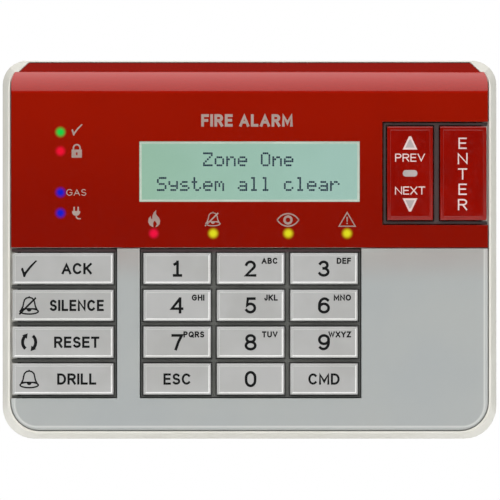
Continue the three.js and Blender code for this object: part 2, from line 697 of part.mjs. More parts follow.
function lightGuide(places) {
  const xs = places.map(({ x }) => x);
  const zs = places.map(({ z }) => z);
  const bar = block(
    Math.min(...xs) - PIPE_RADIUS,
    Math.max(...xs) + PIPE_RADIUS,
    DECK_BACK + GAP + 1.2,
    DECK_BACK + GAP,
    Math.min(...zs) - PIPE_RADIUS,
    Math.max(...zs) + PIPE_RADIUS,
  );
  const pipes = places.map(({ x, z }) => rod(x, z, PIPE_RADIUS, LED_FRONT - GAP, DECK_FRONT, 12));
  return joined([bar, ...pipes]);
}

const columnCount = Object.keys(COLUMN_LAMPS).length;
piece("column_light_guide", lightGuide(lampPlaces.slice(0, columnCount)), LIGHT_GUIDE);
piece("row_light_guide", lightGuide(lampPlaces.slice(columnCount)), LIGHT_GUIDE);

// ---- Circuit board -------------------------------------------------------------------------
function mainBoard() {
  const sheet = plate(
    outline(-BOARD_EDGE, BOARD_EDGE, BOARD_LOW, BOARD_HIGH, BOARD_CORNER),
    BOARD_BACK,
    BOARD_FRONT,
  );
  const holes = bossPlaces.map(({ x, z }) =>
    rod(x, z, SCREW_RADIUS + GAP, OUTSIDE, -DEPTH, 12),
  );
  return cutBy(sheet, holes);
}

function boardScrew(x, z) {
  const head = rod(x, z, SCREW_HEAD, PARTS_FRONT + SCREW_HEAD_THICK, PARTS_FRONT, 14);
  const shank = rod(x, z, SCREW_RADIUS, PARTS_FRONT + SCREW_HEAD_THICK / 2, DECK_BACK + 1, 8);
  const cross = [
    block(x - 1.4, x + 1.4, OUTSIDE, PARTS_FRONT + 0.8, z - 0.3, z + 0.3),
    block(x - 0.3, x + 0.3, OUTSIDE, PARTS_FRONT + 0.8, z - 1.4, z + 1.4),
  ];
  return cutBy(head.add(shank), cross);
}

piece("main_board", mainBoard(), BOARD_GREEN);
bossPlaces.forEach(({ x, z }, i) => piece(`board_screw_${i + 1}`, boardScrew(x, z), STEEL));
piece(
  "sounder",
  rod(SOUNDER.x, SOUNDER.z, SOUNDER.radius, PARTS_FRONT + SOUNDER.thick, PARTS_FRONT, 20).subtract(
    rod(SOUNDER.x, SOUNDER.z, SOUNDER.port, 0, PARTS_FRONT + SOUNDER.thick - 1, 10),
  ),
  BLACK_PLASTIC,
);

// ---- Terminal block, its clamp screws and the plug-in header -------------------------------
const TERMINALS = 4;
const TERMINAL_PITCH = 5.08;
const TERMINAL_Z = 8;
const TERMINAL_HEIGHT = 8;
const TERMINAL_THICK = 7.6;
const TERMINAL_BACK = PARTS_FRONT + TERMINAL_THICK;
const CLAMP_RADIUS = 1.6;
const CLAMP_THICK = 2.4;
const terminalX = Array.from(
  { length: TERMINALS },
  (_, i) => (i - (TERMINALS - 1) / 2) * TERMINAL_PITCH,
);

function terminalBlock() {
  const width = TERMINALS * TERMINAL_PITCH;
  const low = TERMINAL_Z - TERMINAL_HEIGHT / 2;
  const body = block(-width / 2, width / 2, TERMINAL_BACK, PARTS_FRONT, low, low + TERMINAL_HEIGHT);
  const wells = terminalX.map((x) =>
    rod(x, TERMINAL_Z, CLAMP_RADIUS + GAP, OUTSIDE, TERMINAL_BACK - CLAMP_THICK - 2 * GAP, 12),
  );
  const ports = terminalX.map((x) =>
    block(x - 1.5, x + 1.5, PARTS_FRONT + 4, PARTS_FRONT + 1.2, low - 1, low + 3),
  );
  return cutBy(body, [...wells, ...ports]);
}

function clampScrew(x) {
  const back = TERMINAL_BACK - GAP;
  const slot = block(x - 2, x + 2, OUTSIDE, back - 0.8, TERMINAL_Z - 0.3, TERMINAL_Z + 0.3);
  return rod(x, TERMINAL_Z, CLAMP_RADIUS, back, back - CLAMP_THICK, 12).subtract(slot);
}

function plugHeader() {
  const x = 24;
  const shell = block(x - 6, x + 6, PARTS_FRONT + 6, PARTS_FRONT, 5, 11);
  const well = block(x - 5.2, x + 5.2, OUTSIDE, PARTS_FRONT + 1, 5.8, 10.2);
  const pins = [-1.5, -0.5, 0.5, 1.5].map((step) =>
    block(x + step * 2.54 - 0.3, x + step * 2.54 + 0.3, PARTS_FRONT + 5, PARTS_FRONT, 7.7, 8.3),
  );
  return joined([shell.subtract(well), ...pins]);
}

piece("terminal_block", terminalBlock(), TERMINAL_GREEN);
terminalX.forEach((x, i) => piece(`terminal_screw_${i + 1}`, clampScrew(x), STEEL));
piece("plug_header", plugHeader(), BLACK_PLASTIC);

// ---- Rotary address switches ---------------------------------------------------------------
const SWITCH_Z = 8;
const SWITCH_SIZE = 10;
const SWITCH_THICK = 4.4;
const DIAL_RADIUS = 3.4;
const DIAL_THICK = 1.6;
const addressSwitches = { tens: -40, ones: -25 };

function addressBody(x) {
  const back = PARTS_FRONT + SWITCH_THICK;
  const body = plate(around(x, SWITCH_Z, SWITCH_SIZE, SWITCH_SIZE), back, PARTS_FRONT);
  return body.subtract(
    rod(x, SWITCH_Z, DIAL_RADIUS + GAP, OUTSIDE, back - DIAL_THICK, 24),
  );
}

function addressDial(x) {
  const back = PARTS_FRONT + SWITCH_THICK + GAP;
  const disc = rod(x, SWITCH_Z, DIAL_RADIUS, back, back - DIAL_THICK, 24);
  const arrow = [
    new THREE.Vector2(x - 0.5, SWITCH_Z - 2.6),
    new THREE.Vector2(x + 0.5, SWITCH_Z - 2.6),
    new THREE.Vector2(x + 0.5, SWITCH_Z + 1.2),
    new THREE.Vector2(x + 1.4, SWITCH_Z + 1.2),
    new THREE.Vector2(x, SWITCH_Z + 2.8),
    new THREE.Vector2(x - 1.4, SWITCH_Z + 1.2),
    new THREE.Vector2(x - 0.5, SWITCH_Z + 1.2),
  ];
  return disc.subtract(plate(arrow, OUTSIDE, back - 0.8));
}

for (const [digit, x] of Object.entries(addressSwitches)) {
  piece(`address_switch_${digit}`, addressBody(x), BLUE_PLASTIC);
  piece(`address_dial_${digit}`, addressDial(x), LIGHT_GUIDE);
}

// ---- Tamper switch -------------------------------------------------------------------------
const TAMPER_SIZE = 8;
const TAMPER_THICK = 5;
const TAMPER_RADIUS = 1.5;
const TAMPER_POST = 3;
const TAMPER_BACK = PARTS_FRONT + TAMPER_THICK;
const PLUNGER_END = PLATE_FRONT - POST_HEIGHT - GAP; // just short of the base's post
const PLUNGER_START = TAMPER_BACK - 2;

function tamperSwitch() {
  const body = plate(
    around(TAMPER_X, TAMPER_Z, TAMPER_SIZE, TAMPER_SIZE),
    TAMPER_BACK,
    PARTS_FRONT,
  );
  const bore = rod(
    TAMPER_X,
    TAMPER_Z,
    TAMPER_RADIUS + GAP,
    0,
    PLUNGER_START - TAMPER_TRAVEL - GAP,
    16,
  );
  return body.subtract(bore);
}

piece("tamper_switch", tamperSwitch(), BLACK_PLASTIC);
piece(
  "tamper_plunger",
  rod(TAMPER_X, TAMPER_Z, TAMPER_RADIUS, PLUNGER_END, PLUNGER_START, 16),
  LIGHT_GUIDE,
);

// ---- Base plate and its locking tab --------------------------------------------------------
const BASE_LOW = BASE_INSET - HEIGHT / 2;
const BASE_HIGH = HEIGHT / 2 - BASE_TOP;
const BASE_SIDE = WIDTH / 2 - BASE_INSET;
const TAB_ROOT = BASE_LOW + TAB_LENGTH;
const TAB_BACK = PLATE_FRONT - TAB_PLAY;

// A long screw slot, its ends not quite half round so that the outline keeps its corners apart.
function wallSlot(x, z, width, height) {
  return plate(around(x, z, width, height, SLOT_RADIUS - 0.01, 4), OUTSIDE, -DEPTH);
}

function rearBase() {
  const edgeInside = (inset) =>
    outline(
      inset - BASE_SIDE,
      BASE_SIDE - inset,
      BASE_LOW + inset,
      BASE_HIGH - inset,
      BASE_CORNER - inset,
      BASE_TOP_CORNER - inset,
    );
  const sheet = plate(edgeInside(0), 0, PLATE_FRONT);
  const rimSpace = plate(edgeInside(BASE_RIM_WALL), OUTSIDE, -DEPTH);
  const rim = plate(edgeInside(0), -BASE / 2, RIM_FRONT).subtract(rimSpace);
  const hooks = [-1, 1].map((side) => {
    const left = side * HOOK_X - HOOK_WIDTH / 2;
    return block(left, left + HOOK_WIDTH, -BASE / 2, RIM_FRONT, BASE_HIGH - 1, BASE_HIGH + HOOK_HEIGHT);
  });
  const tabSeat = block(
    -TAB_WIDTH / 2 - 2,
    TAB_WIDTH / 2 + 2,
    -BASE / 2,
    RIM_FRONT,
    TAB_ROOT + GAP,
    TAB_ROOT + TAB_SEAT,
  );
  const tamperPost = rod(TAMPER_X, TAMPER_Z, TAMPER_POST, -BASE / 2, PLATE_FRONT - POST_HEIGHT, 16);
  const tabRoom = block(
    -TAB_WIDTH / 2 - 2 * GAP,
    TAB_WIDTH / 2 + 2 * GAP,
    PLATE_FRONT,
    -DEPTH,
    -HEIGHT,
    TAB_ROOT,
  );
  const entry = plate(around(0, ENTRY_Z, ENTRY_WIDTH, ENTRY_HEIGHT, 3), OUTSIDE, -DEPTH);
  const slotWidth = 2 * SLOT_RADIUS;
  const boxSlots = [-1, 1].map((end) => wallSlot(0, (end * BOX_SCREWS) / 2, SLOT_LENGTH, slotWidth));
  const cornerSlots = [-1, 1].flatMap((side) =>
    [-1, 1].map((end) =>
      wallSlot((side * CORNER_SCREWS_X) / 2, (end * CORNER_SCREWS_Z) / 2, slotWidth, SLOT_LENGTH),
    ),
  );
  const whole = joined([sheet, rim, ...hooks, tabSeat, tamperPost]);
  return cutBy(whole, [tabRoom, entry, ...boxSlots, ...cornerSlots]);
}

function lockingTab() {
  const half = TAB_WIDTH / 2;
  const front = TAB_BACK - TAB_THICK;
  const tip = -HEIGHT / 2 + TAB_TIP;
  const tongue = block(-half, half, TAB_BACK, front, tip, TAB_ROOT);
  const nose = block(-half, half, TAB_BACK, front - TAB_NOSE, tip, BASE_LOW + TAB_NOSE / 2);
  const ridge = block(-half + 1, half - 1, TAB_BACK, front - 0.5, TAB_ROOT - 2, TAB_ROOT);
  return joined([tongue, nose, ridge]);
}

piece("rear_base", rearBase(), WHITE_PLASTIC);
piece("locking_tab", lockingTab(), WHITE_PLASTIC);

export default group;
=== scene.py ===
import math

import bpy
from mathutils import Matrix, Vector


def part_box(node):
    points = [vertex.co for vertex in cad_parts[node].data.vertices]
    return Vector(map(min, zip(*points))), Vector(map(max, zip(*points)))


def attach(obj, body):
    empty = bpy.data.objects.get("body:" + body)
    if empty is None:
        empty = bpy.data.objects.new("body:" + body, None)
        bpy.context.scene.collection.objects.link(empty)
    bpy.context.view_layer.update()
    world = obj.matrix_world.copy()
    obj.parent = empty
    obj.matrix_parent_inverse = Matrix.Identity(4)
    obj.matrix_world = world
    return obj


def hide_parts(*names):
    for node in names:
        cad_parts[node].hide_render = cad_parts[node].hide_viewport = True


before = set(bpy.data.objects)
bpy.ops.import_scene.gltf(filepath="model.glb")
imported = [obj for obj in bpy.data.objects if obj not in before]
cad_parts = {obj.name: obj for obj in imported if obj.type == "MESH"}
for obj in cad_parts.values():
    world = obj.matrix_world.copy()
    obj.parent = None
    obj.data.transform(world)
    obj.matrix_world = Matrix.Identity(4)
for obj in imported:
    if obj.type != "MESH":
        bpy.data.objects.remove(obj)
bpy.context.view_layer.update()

# ---- Camera --------------------------------------------------------------------------------
# It stands square in front of the panel and far back, so that only a sliver of each side
# shows. Colours are shown as they fall, without a film curve.
CAMERA_DISTANCE = 7.0
PICTURE_WIDTH = 0.16035  # how much of the wall plane the picture takes in
SENSOR_WIDTH = 36.0
MIDDLE_X, MIDDLE_Z = 0.00016, -0.0002  # the point it looks at
camera_data = bpy.data.cameras.new("camera")
camera_data.sensor_width = SENSOR_WIDTH
camera_data.lens = SENSOR_WIDTH * CAMERA_DISTANCE / PICTURE_WIDTH
camera_data.clip_end = 40.0
camera = bpy.data.objects.new("camera", camera_data)
camera.location = (MIDDLE_X, -CAMERA_DISTANCE, MIDDLE_Z)
camera.rotation_euler = (math.radians(90), 0, 0)
bpy.context.scene.collection.objects.link(camera)
bpy.context.scene.camera = camera
bpy.context.scene.view_settings.view_transform = "Standard"

# ---- Floor ---------------------------------------------------------------------------------
# A plain pale studio floor, painted matt, that lies a little below the panel's lower edge and
# catches its shadow.
FLOOR_LEVEL = -0.1
FLOOR_FRONT = -3.2
FLOOR_BACK = 1.5
FLOOR_HALF = 2.4  # half its width


def linear(red, green, blue):
    """A colour given in 0 to 255 steps, as the linear values that the shaders take."""
    steps = [value / 255 for value in (red, green, blue)]
    return (*[v / 12.92 if v < 0.04045 else ((v + 0.055) / 1.055) ** 2.4 for v in steps], 1.0)


def add_node(tree, kind, inputs=(), **settings):
    """A shader node whose inputs are plain values or the outputs of other nodes."""
    node = tree.nodes.new("ShaderNode" + kind)
    for key, value in settings.items():
        setattr(node, key, value)
    for key, value in dict(inputs).items():
        if isinstance(value, bpy.types.NodeSocket):
            tree.links.new(value, node.inputs[key])
        else:
            node.inputs[key].default_value = value
    return node


def math_node(tree, operation, first, second=0.0, third=0.0):
    inputs = {0: first, 1: second, 2: third}
    return add_node(tree, "Math", inputs, operation=operation).outputs[0]


def spread(tree, value, low, high, to_low=0.0, to_high=1.0, kind="SMOOTHSTEP"):
    """A value between two limits spread smoothly over two others."""
    inputs = {"Value": value, 1: low, 2: high, 3: to_low, 4: to_high}
    return add_node(tree, "MapRange", inputs, interpolation_type=kind).outputs[0]


def blend_colours(tree, share, first, second):
    inputs = {0: share, 6: first, 7: second}
    return add_node(tree, "Mix", inputs, data_type="RGBA").outputs[2]


def noise(tree, place, scale, detail=2.0, roughness=0.5):
    """A cloudy pattern from 0 to 1; scale is how many clouds there are in a metre."""
    inputs = {"Vector": place, "Scale": scale, "Detail": detail, "Roughness": roughness}
    return add_node(tree, "TexNoise", inputs).outputs["Fac"]


def new_material(name):
    """A material with its node tree, its shader and the piece's own coordinates."""
    material = bpy.data.materials.new(name)
    material.use_nodes = True
    tree = material.node_tree
    shader = tree.nodes["Principled BSDF"]
    place = add_node(tree, "TexCoord").outputs["Object"]
    return material, tree, shader, place


def alone(thing):
    """Selects one object and nothing else."""
    bpy.ops.object.select_all(action="DESELECT")
    thing.select_set(True)
    bpy.context.view_layer.objects.active = thing


bpy.ops.object.select_all(action="DESELECT")
bpy.ops.mesh.primitive_grid_add(
    x_subdivisions=8,
    y_subdivisions=8,
    size=1,
    location=(0, (FLOOR_FRONT + FLOOR_BACK) / 2, FLOOR_LEVEL),
)
floor = bpy.context.object
floor.name = "studio_floor"
floor.scale = (2 * FLOOR_HALF, FLOOR_BACK - FLOOR_FRONT, 1)
bpy.ops.object.transform_apply(location=True, rotation=True, scale=True)
floor_paint, tree, shader, place = new_material("floor_paint")
mottle = noise(tree, place, 6.0, 4.0)
tone = blend_colours(tree, mottle, (0.80, 0.80, 0.79, 1), (0.86, 0.86, 0.855, 1))
tree.links.new(tone, shader.inputs["Base Color"])
shader.inputs["Roughness"].default_value = 0.9
floor.data.materials.append(floor_paint)

# ---- Light ---------------------------------------------------------------------------------
# A great curved soft box hangs over the front, from just above the camera to straight overhead,
# brighter towards its top. Weaker boxes stand at the sides and behind. The rest of the room is
# dark, so that gloss stays deep.
BOX_LOW = math.radians(7.5)  # angles up from the line to the camera
BOX_EDGE = math.radians(2)  # over which the lower edge comes up
BOX_BRIGHTEST = math.radians(80)
BOX_HIGH = math.radians(98)
BOX_FADE = math.radians(9)
BOX_DIM = 1.48
BOX_BRIGHT = 3.12
BOX_SIDE = 0.4  # how far to each side it is whole, as the sine of the angle
BOX_SIDE_END = 0.68
ROOM = 0.02
world = bpy.data.worlds.new("studio")
bpy.context.scene.world = world
world.use_nodes = True
tree = world.node_tree
way = add_node(tree, "SeparateXYZ", {"Vector": add_node(tree, "TexCoord").outputs["Generated"]})
forward = math_node(tree, "MULTIPLY", way.outputs["Y"], -1.0)
rise = math_node(tree, "ARCTAN2", way.outputs["Z"], forward)
lit_share = math_node(
    tree,
    "MULTIPLY",
    spread(tree, rise, BOX_LOW, BOX_LOW + BOX_EDGE),
    spread(tree, rise, BOX_HIGH, BOX_HIGH + BOX_FADE, 1.0, 0.0),
)
sideways = math_node(tree, "ABSOLUTE", way.outputs["X"])
side_share = spread(tree, sideways, BOX_SIDE, BOX_SIDE_END, 1.0, 0.0)
lit_share = math_node(tree, "MULTIPLY", lit_share, side_share)
strength = spread(tree, rise, BOX_LOW, BOX_BRIGHTEST, BOX_DIM, BOX_BRIGHT, "LINEAR")
box_light = math_node(tree, "MULTIPLY_ADD", lit_share, strength, ROOM)
# Behind the panel the room is a plain white sweep.
seen = add_node(tree, "LightPath").outputs["Is Camera Ray"]
missing = math_node(tree, "SUBTRACT", 1.0, box_light)
shown = math_node(tree, "MULTIPLY_ADD", seen, missing, box_light)
tree.links.new(shown, tree.nodes["Background"].inputs["Strength"])
tree.nodes["Background"].inputs["Color"].default_value = (1, 1, 1, 1)


def soft_light(name, azimuth, elevation, distance, width, height, radiance):
    """A rectangular light that faces the panel. Azimuth 0 is in front, and 90 to the right."""
    data = bpy.data.lights.new(name, "AREA")
    data.shape = "RECTANGLE"
    data.size = width
    data.size_y = height
    data.energy = radiance * math.pi * width * height
    light = bpy.data.objects.new(name, data)
    turn, lift = math.radians(azimuth), math.radians(elevation)
    away = Vector(
        (math.sin(turn) * math.cos(lift), -math.cos(turn) * math.cos(lift), math.sin(lift))
    )
    light.location = away * distance
    light.rotation_euler = away.to_track_quat("Z", "Y").to_euler()
    light.visible_camera = False
    bpy.context.scene.collection.objects.link(light)


soft_light("soft_box_right", 80, 8, distance=1.1, width=0.9, height=0.9, radiance=1.6)
soft_light("soft_box_left", -80, 8, distance=1.1, width=0.9, height=0.9, radiance=1.6)
soft_light("soft_box_behind", 180, 62, distance=1.6, width=1.4, height=0.7, radiance=1.6)

# ---- Rear base -----------------------------------------------------------------------------
# The plate that is screwed to the wall: moulded white plastic with a rim, two hooks at the top
# that carry the front, a wire entry and slots for the wall screws.
WHITE = linear(216, 214, 206)
WHITE_SHADE = linear(212, 210, 201)


def add_bump(tree, shader, height, strength, distance):
    """Fine relief that only the shading shows."""
    inputs = {"Strength": strength, "Distance": distance, "Height": height}
    tree.links.new(add_node(tree, "Bump", inputs).outputs[0], shader.inputs["Normal"])


def moulded_plastic(name, light, dark, gloss, grain_size, grain_depth, coat=0.0):
    """Moulded plastic: a slow change of tone, fine grain from the mould, and small dull marks."""
    material, tree, shader, place = new_material(name)
    slow = noise(tree, place, 60.0, 3.0)
    grain = noise(tree, place, 1 / grain_size)
    marks = noise(tree, place, 420.0, 5.0, 0.7)
    tone = blend_colours(tree, spread(tree, slow, 0.35, 0.65), light, dark)
    tree.links.new(tone, shader.inputs["Base Color"])
    dull = math_node(tree, "ADD", spread(tree, marks, 0.4, 0.75, 0.0, 0.1), gloss)
    tree.links.new(dull, shader.inputs["Roughness"])
    add_bump(tree, shader, grain, 0.35, grain_depth)
    shader.inputs["Coat Weight"].default_value = coat
    shader.inputs["Coat Roughness"].default_value = 0.05
    return material


def merged_copy(node, name):
    """A copy of a CAD node with its loose triangles merged into clean faces."""
    shell = bpy.data.objects.new(name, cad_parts[node].data.copy())
    bpy.context.scene.collection.objects.link(shell)
    shell.data.materials.clear()
    alone(shell)
    bpy.ops.mesh.customdata_custom_splitnormals_clear()
    bpy.ops.object.mode_set(mode="EDIT")
    bpy.ops.mesh.select_mode(type="VERT")
    bpy.ops.mesh.select_all(action="SELECT")
    bpy.ops.mesh.remove_doubles(threshold=2e-6)
    bpy.ops.mesh.dissolve_limited(angle_limit=math.radians(0.5))
    bpy.ops.mesh.select_all(action="DESELECT")
    bpy.ops.object.mode_set(mode="OBJECT")
    return shell


def select_edges(shell, wanted, turn=25):
    """Selects the edges that turn by more than an angle and whose middle is wanted."""
    mesh = shell.data
    sides = {}
    for face in mesh.polygons:
        for key in face.edge_keys:
            sides.setdefault(key, []).append(face.normal)
    for part in (mesh.vertices, mesh.edges, mesh.polygons):
        part.foreach_set("select", [False] * len(part))
    for edge in mesh.edges:
        normals = sides.get(edge.key, ())
        if len(normals) != 2 or normals[0].angle(normals[1], 0) < math.radians(turn):
            continue
        start, end = (mesh.vertices[i].co for i in edge.vertices)
        edge.select = bool(wanted((start + end) / 2, start, end))


def round_edges(shell, wanted, radius, segments, turn=25):
    """Rounds the wanted edges of a shell in edit mode."""
    select_edges(shell, wanted, turn)
    alone(shell)
    bpy.context.tool_settings.mesh_select_mode = (False, True, False)
    bpy.ops.object.mode_set(mode="EDIT")
    bpy.ops.mesh.bevel(offset=radius, segments=segments, affect="EDGES", clamp_overlap=True)
    bpy.ops.mesh.select_all(action="DESELECT")
    bpy.ops.object.mode_set(mode="OBJECT")


def finish_shell(shell, material, radius=0.0, segments=2, turn=30):
    """A last small rounding of the sharp edges, smooth shading and the shell's material."""
    alone(shell)
    if radius:
        bevel = shell.modifiers.new("edge", "BEVEL")
        bevel.width = radius
        bevel.segments = segments
        bevel.limit_method = "ANGLE"
        bevel.angle_limit = math.radians(turn)
        bpy.ops.object.modifier_apply(modifier=bevel.name)
    bpy.ops.object.shade_smooth_by_angle(angle=math.radians(38))
    even = shell.modifiers.new("even_shading", "WEIGHTED_NORMAL")
    even.keep_sharp = True
    bpy.ops.object.modifier_apply(modifier=even.name)
    shell.data.materials.clear()
    shell.data.materials.append(material)


white_plastic = moulded_plastic("white_plastic", WHITE, WHITE_SHADE, 0.42, 0.00035, 0.00004)
base = merged_copy("rear_base", "wall_base")
finish_shell(base, white_plastic, 0.00025)
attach(base, "base")
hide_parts("rear_base")

# ---- Locking tab ---------------------------------------------------------------------------
# A springy tongue of the base that a screwdriver lifts through the notch in the lower edge. It
# has a nose that catches the front and a ridge where it bends.
tab = merged_copy("locking_tab", "spring_tab")
finish_shell(tab, white_plastic, 0.0002)
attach(tab, "locking_tab")
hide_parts("locking_tab")

# ---- Front housing -------------------------------------------------------------------------
# The white shell of the front: drafted sides, a thin lip round the two fascias, screw bosses
# inside, and a notch and sounder slots in the lower wall. One moulding with rounded edges.
REAR_EDGE_Y = -0.0006  # the rear edge is behind this
LIP_Y = -0.0245  # and the lip in front of this
OUTLINE_REACH = 0.05  # only the outline is farther than this from the middle
housing = merged_copy("front_housing", "white_housing")


def on_rear_edge(middle, start, end):
    return middle.y > REAR_EDGE_Y and max(abs(middle.x), abs(middle.z)) > OUTLINE_REACH


def on_lip(middle, start, end):
    return middle.y < LIP_Y and abs(start.y - end.y) < 1e-5


round_edges(housing, on_rear_edge, 0.00035, 3)
round_edges(housing, on_lip, 0.0002, 3)
finish_shell(housing, white_plastic)
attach(housing, "front")
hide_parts("front_housing")

# ---- Circuit board -------------------------------------------------------------------------
# Green glass-fibre board with copper tracks under its lacquer, held to the housing's four
# bosses. The tracks and the pads are in the surface, and small parts are soldered on the back.
TRACK_WIDTH = 0.00022
TRACK_LENGTH = 0.0061
TRACK_PITCH = 0.0017


def vary_polish(tree, shader, cloud, smooth, rough):
    """Makes a surface smoother and rougher with a cloudy pattern."""
    tree.links.new(spread(tree, cloud, 0.3, 0.7, smooth, rough), shader.inputs["Roughness"])


lacquer, tree, shader, place = new_material("board_lacquer")
squares = add_node(
    tree,
    "TexBrick",
    {
        "Vector": add_node(
            tree, "Mapping", {"Vector": place, "Rotation": (math.radians(90), 0, 0)}
        ).outputs[0],
        "Color1": linear(24, 84, 46),
        "Color2": linear(28, 96, 54),
        "Mortar": linear(44, 128, 74),
        "Scale": 1.0,
        "Mortar Size": TRACK_WIDTH,
        "Brick Width": TRACK_LENGTH,
        "Row Height": TRACK_PITCH,
    },
    offset=0.37,
)
pads = add_node(tree, "TexVoronoi", {"Vector": place, "Scale": 260.0}).outputs["Distance"]
pad_share = spread(tree, pads, 0.10, 0.13, 1.0, 0.0)
tinned = blend_colours(tree, pad_share, squares.outputs["Color"], linear(196, 198, 194))
tree.links.new(tinned, shader.inputs["Base Color"])
tree.links.new(pad_share, shader.inputs["Metallic"])
weave = noise(tree, place, 900.0)
vary_polish(tree, shader, weave, 0.22, 0.38)
raised = math_node(tree, "ADD", squares.outputs["Fac"], math_node(tree, "MULTIPLY", weave, 0.2))
add_bump(tree, shader, raised, 0.5, 0.00004)


def dress(node, material):
    """Gives a CAD node that stays its material."""
    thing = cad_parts[node]
    thing.data.materials.clear()
    thing.data.materials.append(material)


dress("main_board", lacquer)

# ---- Board screws and clamp screws ---------------------------------------------------------
# Zinc-plated pan-head screws: four hold the board to the housing, and four clamp the wires.
# The plating is bright, with faint turning lines.


def mottled(name, scale, detail, first, second, smooth, rough):
    """A material whose tone and polish both vary with one cloudy pattern."""
    material, tree, shader, place = new_material(name)
    cloud = noise(tree, place, scale, detail)
    tree.links.new(blend_colours(tree, cloud, first, second), shader.inputs["Base Color"])
    vary_polish(tree, shader, cloud, smooth, rough)
    return material, tree, shader, place, cloud


plated_steel, tree, shader, place, _ = mottled(
    "plated_steel", 700.0, 4.0, linear(176, 178, 180), linear(205, 206, 204), 0.2, 0.36
)
shader.inputs["Metallic"].default_value = 1.0
turned = add_node(tree, "TexWave", {"Vector": place, "Scale": 900.0, "Distortion": 2.0})
add_bump(tree, shader, turned.outputs["Fac"], 0.2, 0.00002)
for number in range(1, 5):
    for kind in ("board_screw", "terminal_screw"):
        screw = merged_copy(f"{kind}_{number}", f"{kind}_{number}_head")
        finish_shell(screw, plated_steel, 0.00012)
        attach(screw, "front")
        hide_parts(f"{kind}_{number}")

# ---- Sounder, terminal block, plug header and tamper switch --------------------------------
# Bought parts in black and green plastic, soldered to the back of the board. The field wires
# go to the green block.
black_plastic = moulded_plastic(
    "black_plastic", linear(34, 34, 35), linear(24, 24, 25), 0.4, 0.0003, 0.00004
)
green_plastic = moulded_plastic(
    "green_plastic", linear(48, 132, 76), linear(38, 112, 62), 0.38, 0.0003, 0.00004
)
fittings = {
    "sounder": ("sounder_can", black_plastic, "plastic_black"),
    "terminal_block": ("terminal_housing", green_plastic, "terminal_green"),
    "plug_header": ("plug_socket", black_plastic, "plastic_black"),
    "tamper_switch": ("tamper_housing", black_plastic, "plastic_black"),
}
for node, (name, material, slot) in fittings.items():
    fitting = merged_copy(node, name)
    finish_shell(fitting, material, 0.00015)
    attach(fitting, "front")
    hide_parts(node)

# ---- Small parts on the board --------------------------------------------------------------
# A controller and three small chips in black packages with bent legs, two capacitors in
# aluminium cans and rows of chip resistors, all soldered to the back of the board.
BOARD_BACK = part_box("main_board")[1].y
REDUCTION = 0.001  # thin outlines are drawn large, where they fill cleanly, and then reduced
CHIP_GAP = 0.0001
LEG_WIDTH = 0.0003
LEG_THICK = 0.00015
LEG_REACH = 0.0012


def block(name, centre, size, material, radius):
    """A moulded block with its edges rounded."""
    bpy.ops.mesh.primitive_cube_add(size=1, location=centre)
    body = bpy.context.object
    body.name = name
    body.scale = size
    bpy.ops.object.transform_apply(location=True, rotation=False, scale=True)
    finish_shell(body, material, radius)
    return body


def filled_outline(name, loops, depth):
    """A flat shape inside one loop or more, with some depth, drawn large."""
    curve = bpy.data.curves.new(name, "CURVE")
    curve.dimensions = "2D"
    curve.fill_mode = "BOTH"
    curve.extrude = depth / 2 / REDUCTION
    for loop in loops:
        line = curve.splines.new("POLY")
        line.points.add(len(loop) - 1)
        for point, (across, up) in zip(line.points, loop):
            point.co = (across / REDUCTION, up / REDUCTION, 0, 1)
        line.use_cyclic_u = True
    shape = bpy.data.objects.new(name, curve)
    bpy.context.scene.collection.objects.link(shape)
    return shape


def leg_row(name, count, pitch, rise, turn, centre):
    """A row of legs bent down to the board; turn is the side of the chip it stands on."""
    low, high = LEG_THICK, rise + LEG_THICK
    profile = [(-0.3, rise), (0.25, rise), (0.5, 0), (1, 0)]
    profile += [(1, low), (0.6, low), (0.35, high), (-0.3, high)]
    alone(filled_outline(name, [[(out * LEG_REACH, up) for out, up in profile]], LEG_WIDTH))
    bpy.ops.object.convert(target="MESH")
    row = bpy.context.object
    row.scale = (REDUCTION, REDUCTION, REDUCTION)
    row.location.z = -pitch * (count - 1) / 2
    bpy.ops.object.transform_apply(location=True, rotation=False, scale=True)
    repeat = row.modifiers.new("row", "ARRAY")
    repeat.count = count
    repeat.use_relative_offset = False
    repeat.use_constant_offset = True
    repeat.constant_offset_displace = (0, 0, pitch)
    bpy.ops.object.modifier_apply(modifier=repeat.name)
    row.rotation_euler = (0, math.radians(turn), 0)
    row.location = centre
    bpy.ops.object.transform_apply(location=True, rotation=True, scale=False)
    row.data.materials.clear()
    row.data.materials.append(plated_steel)
    return row


# name: middle x and z, width, depth, height, legs on a side, pitch, turns of the legged sides
CHIPS = {
    "controller": (0.0, 0.030, 0.010, 0.010, 0.0014, 16, 0.0005, (0, 90, 180, 270)),
    "memory_chip": (-0.030, 0.030, 0.0039, 0.0049, 0.0015, 4, 0.00127, (0, 180)),
    "bus_chip": (0.032, 0.024, 0.0039, 0.0087, 0.0015, 7, 0.00127, (0, 180)),
    "supply_chip": (-0.050, -0.044, 0.0039, 0.0049, 0.0015, 4, 0.00127, (0, 180)),
}
for name, (x, z, width, depth, height, legs, pitch, turns) in CHIPS.items():
    size = (width, height, depth)
    chip = block(name, (x, BOARD_BACK + CHIP_GAP + height / 2, z), size, black_plastic, 0.00012)
    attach(chip, "front")
    for turn in turns:
        away = width / 2 if turn in (0, 180) else depth / 2
        swing = math.radians(turn)
        spot = (x + away * math.cos(swing), BOARD_BACK, z - away * math.sin(swing))
        row = leg_row(f"{name}_legs_{turn}", legs, pitch, height / 2, turn, spot)
        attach(row, "front")
CAN_TOP = [(0, 5.4), (2.8, 5.4), (3.1, 5.2), (3.15, 4.9)]  # radius and height, in millimetres
CAN_GROOVE = [(3.15, 2.0), (2.95, 1.8), (2.95, 1.6), (3.15, 1.4)]
CAN = CAN_TOP + CAN_GROOVE + [(3.15, 0.8), (0, 0.8)]
CAN_STEPS = 40
FOOT = (0.0066, 0.0009, 0.0066)
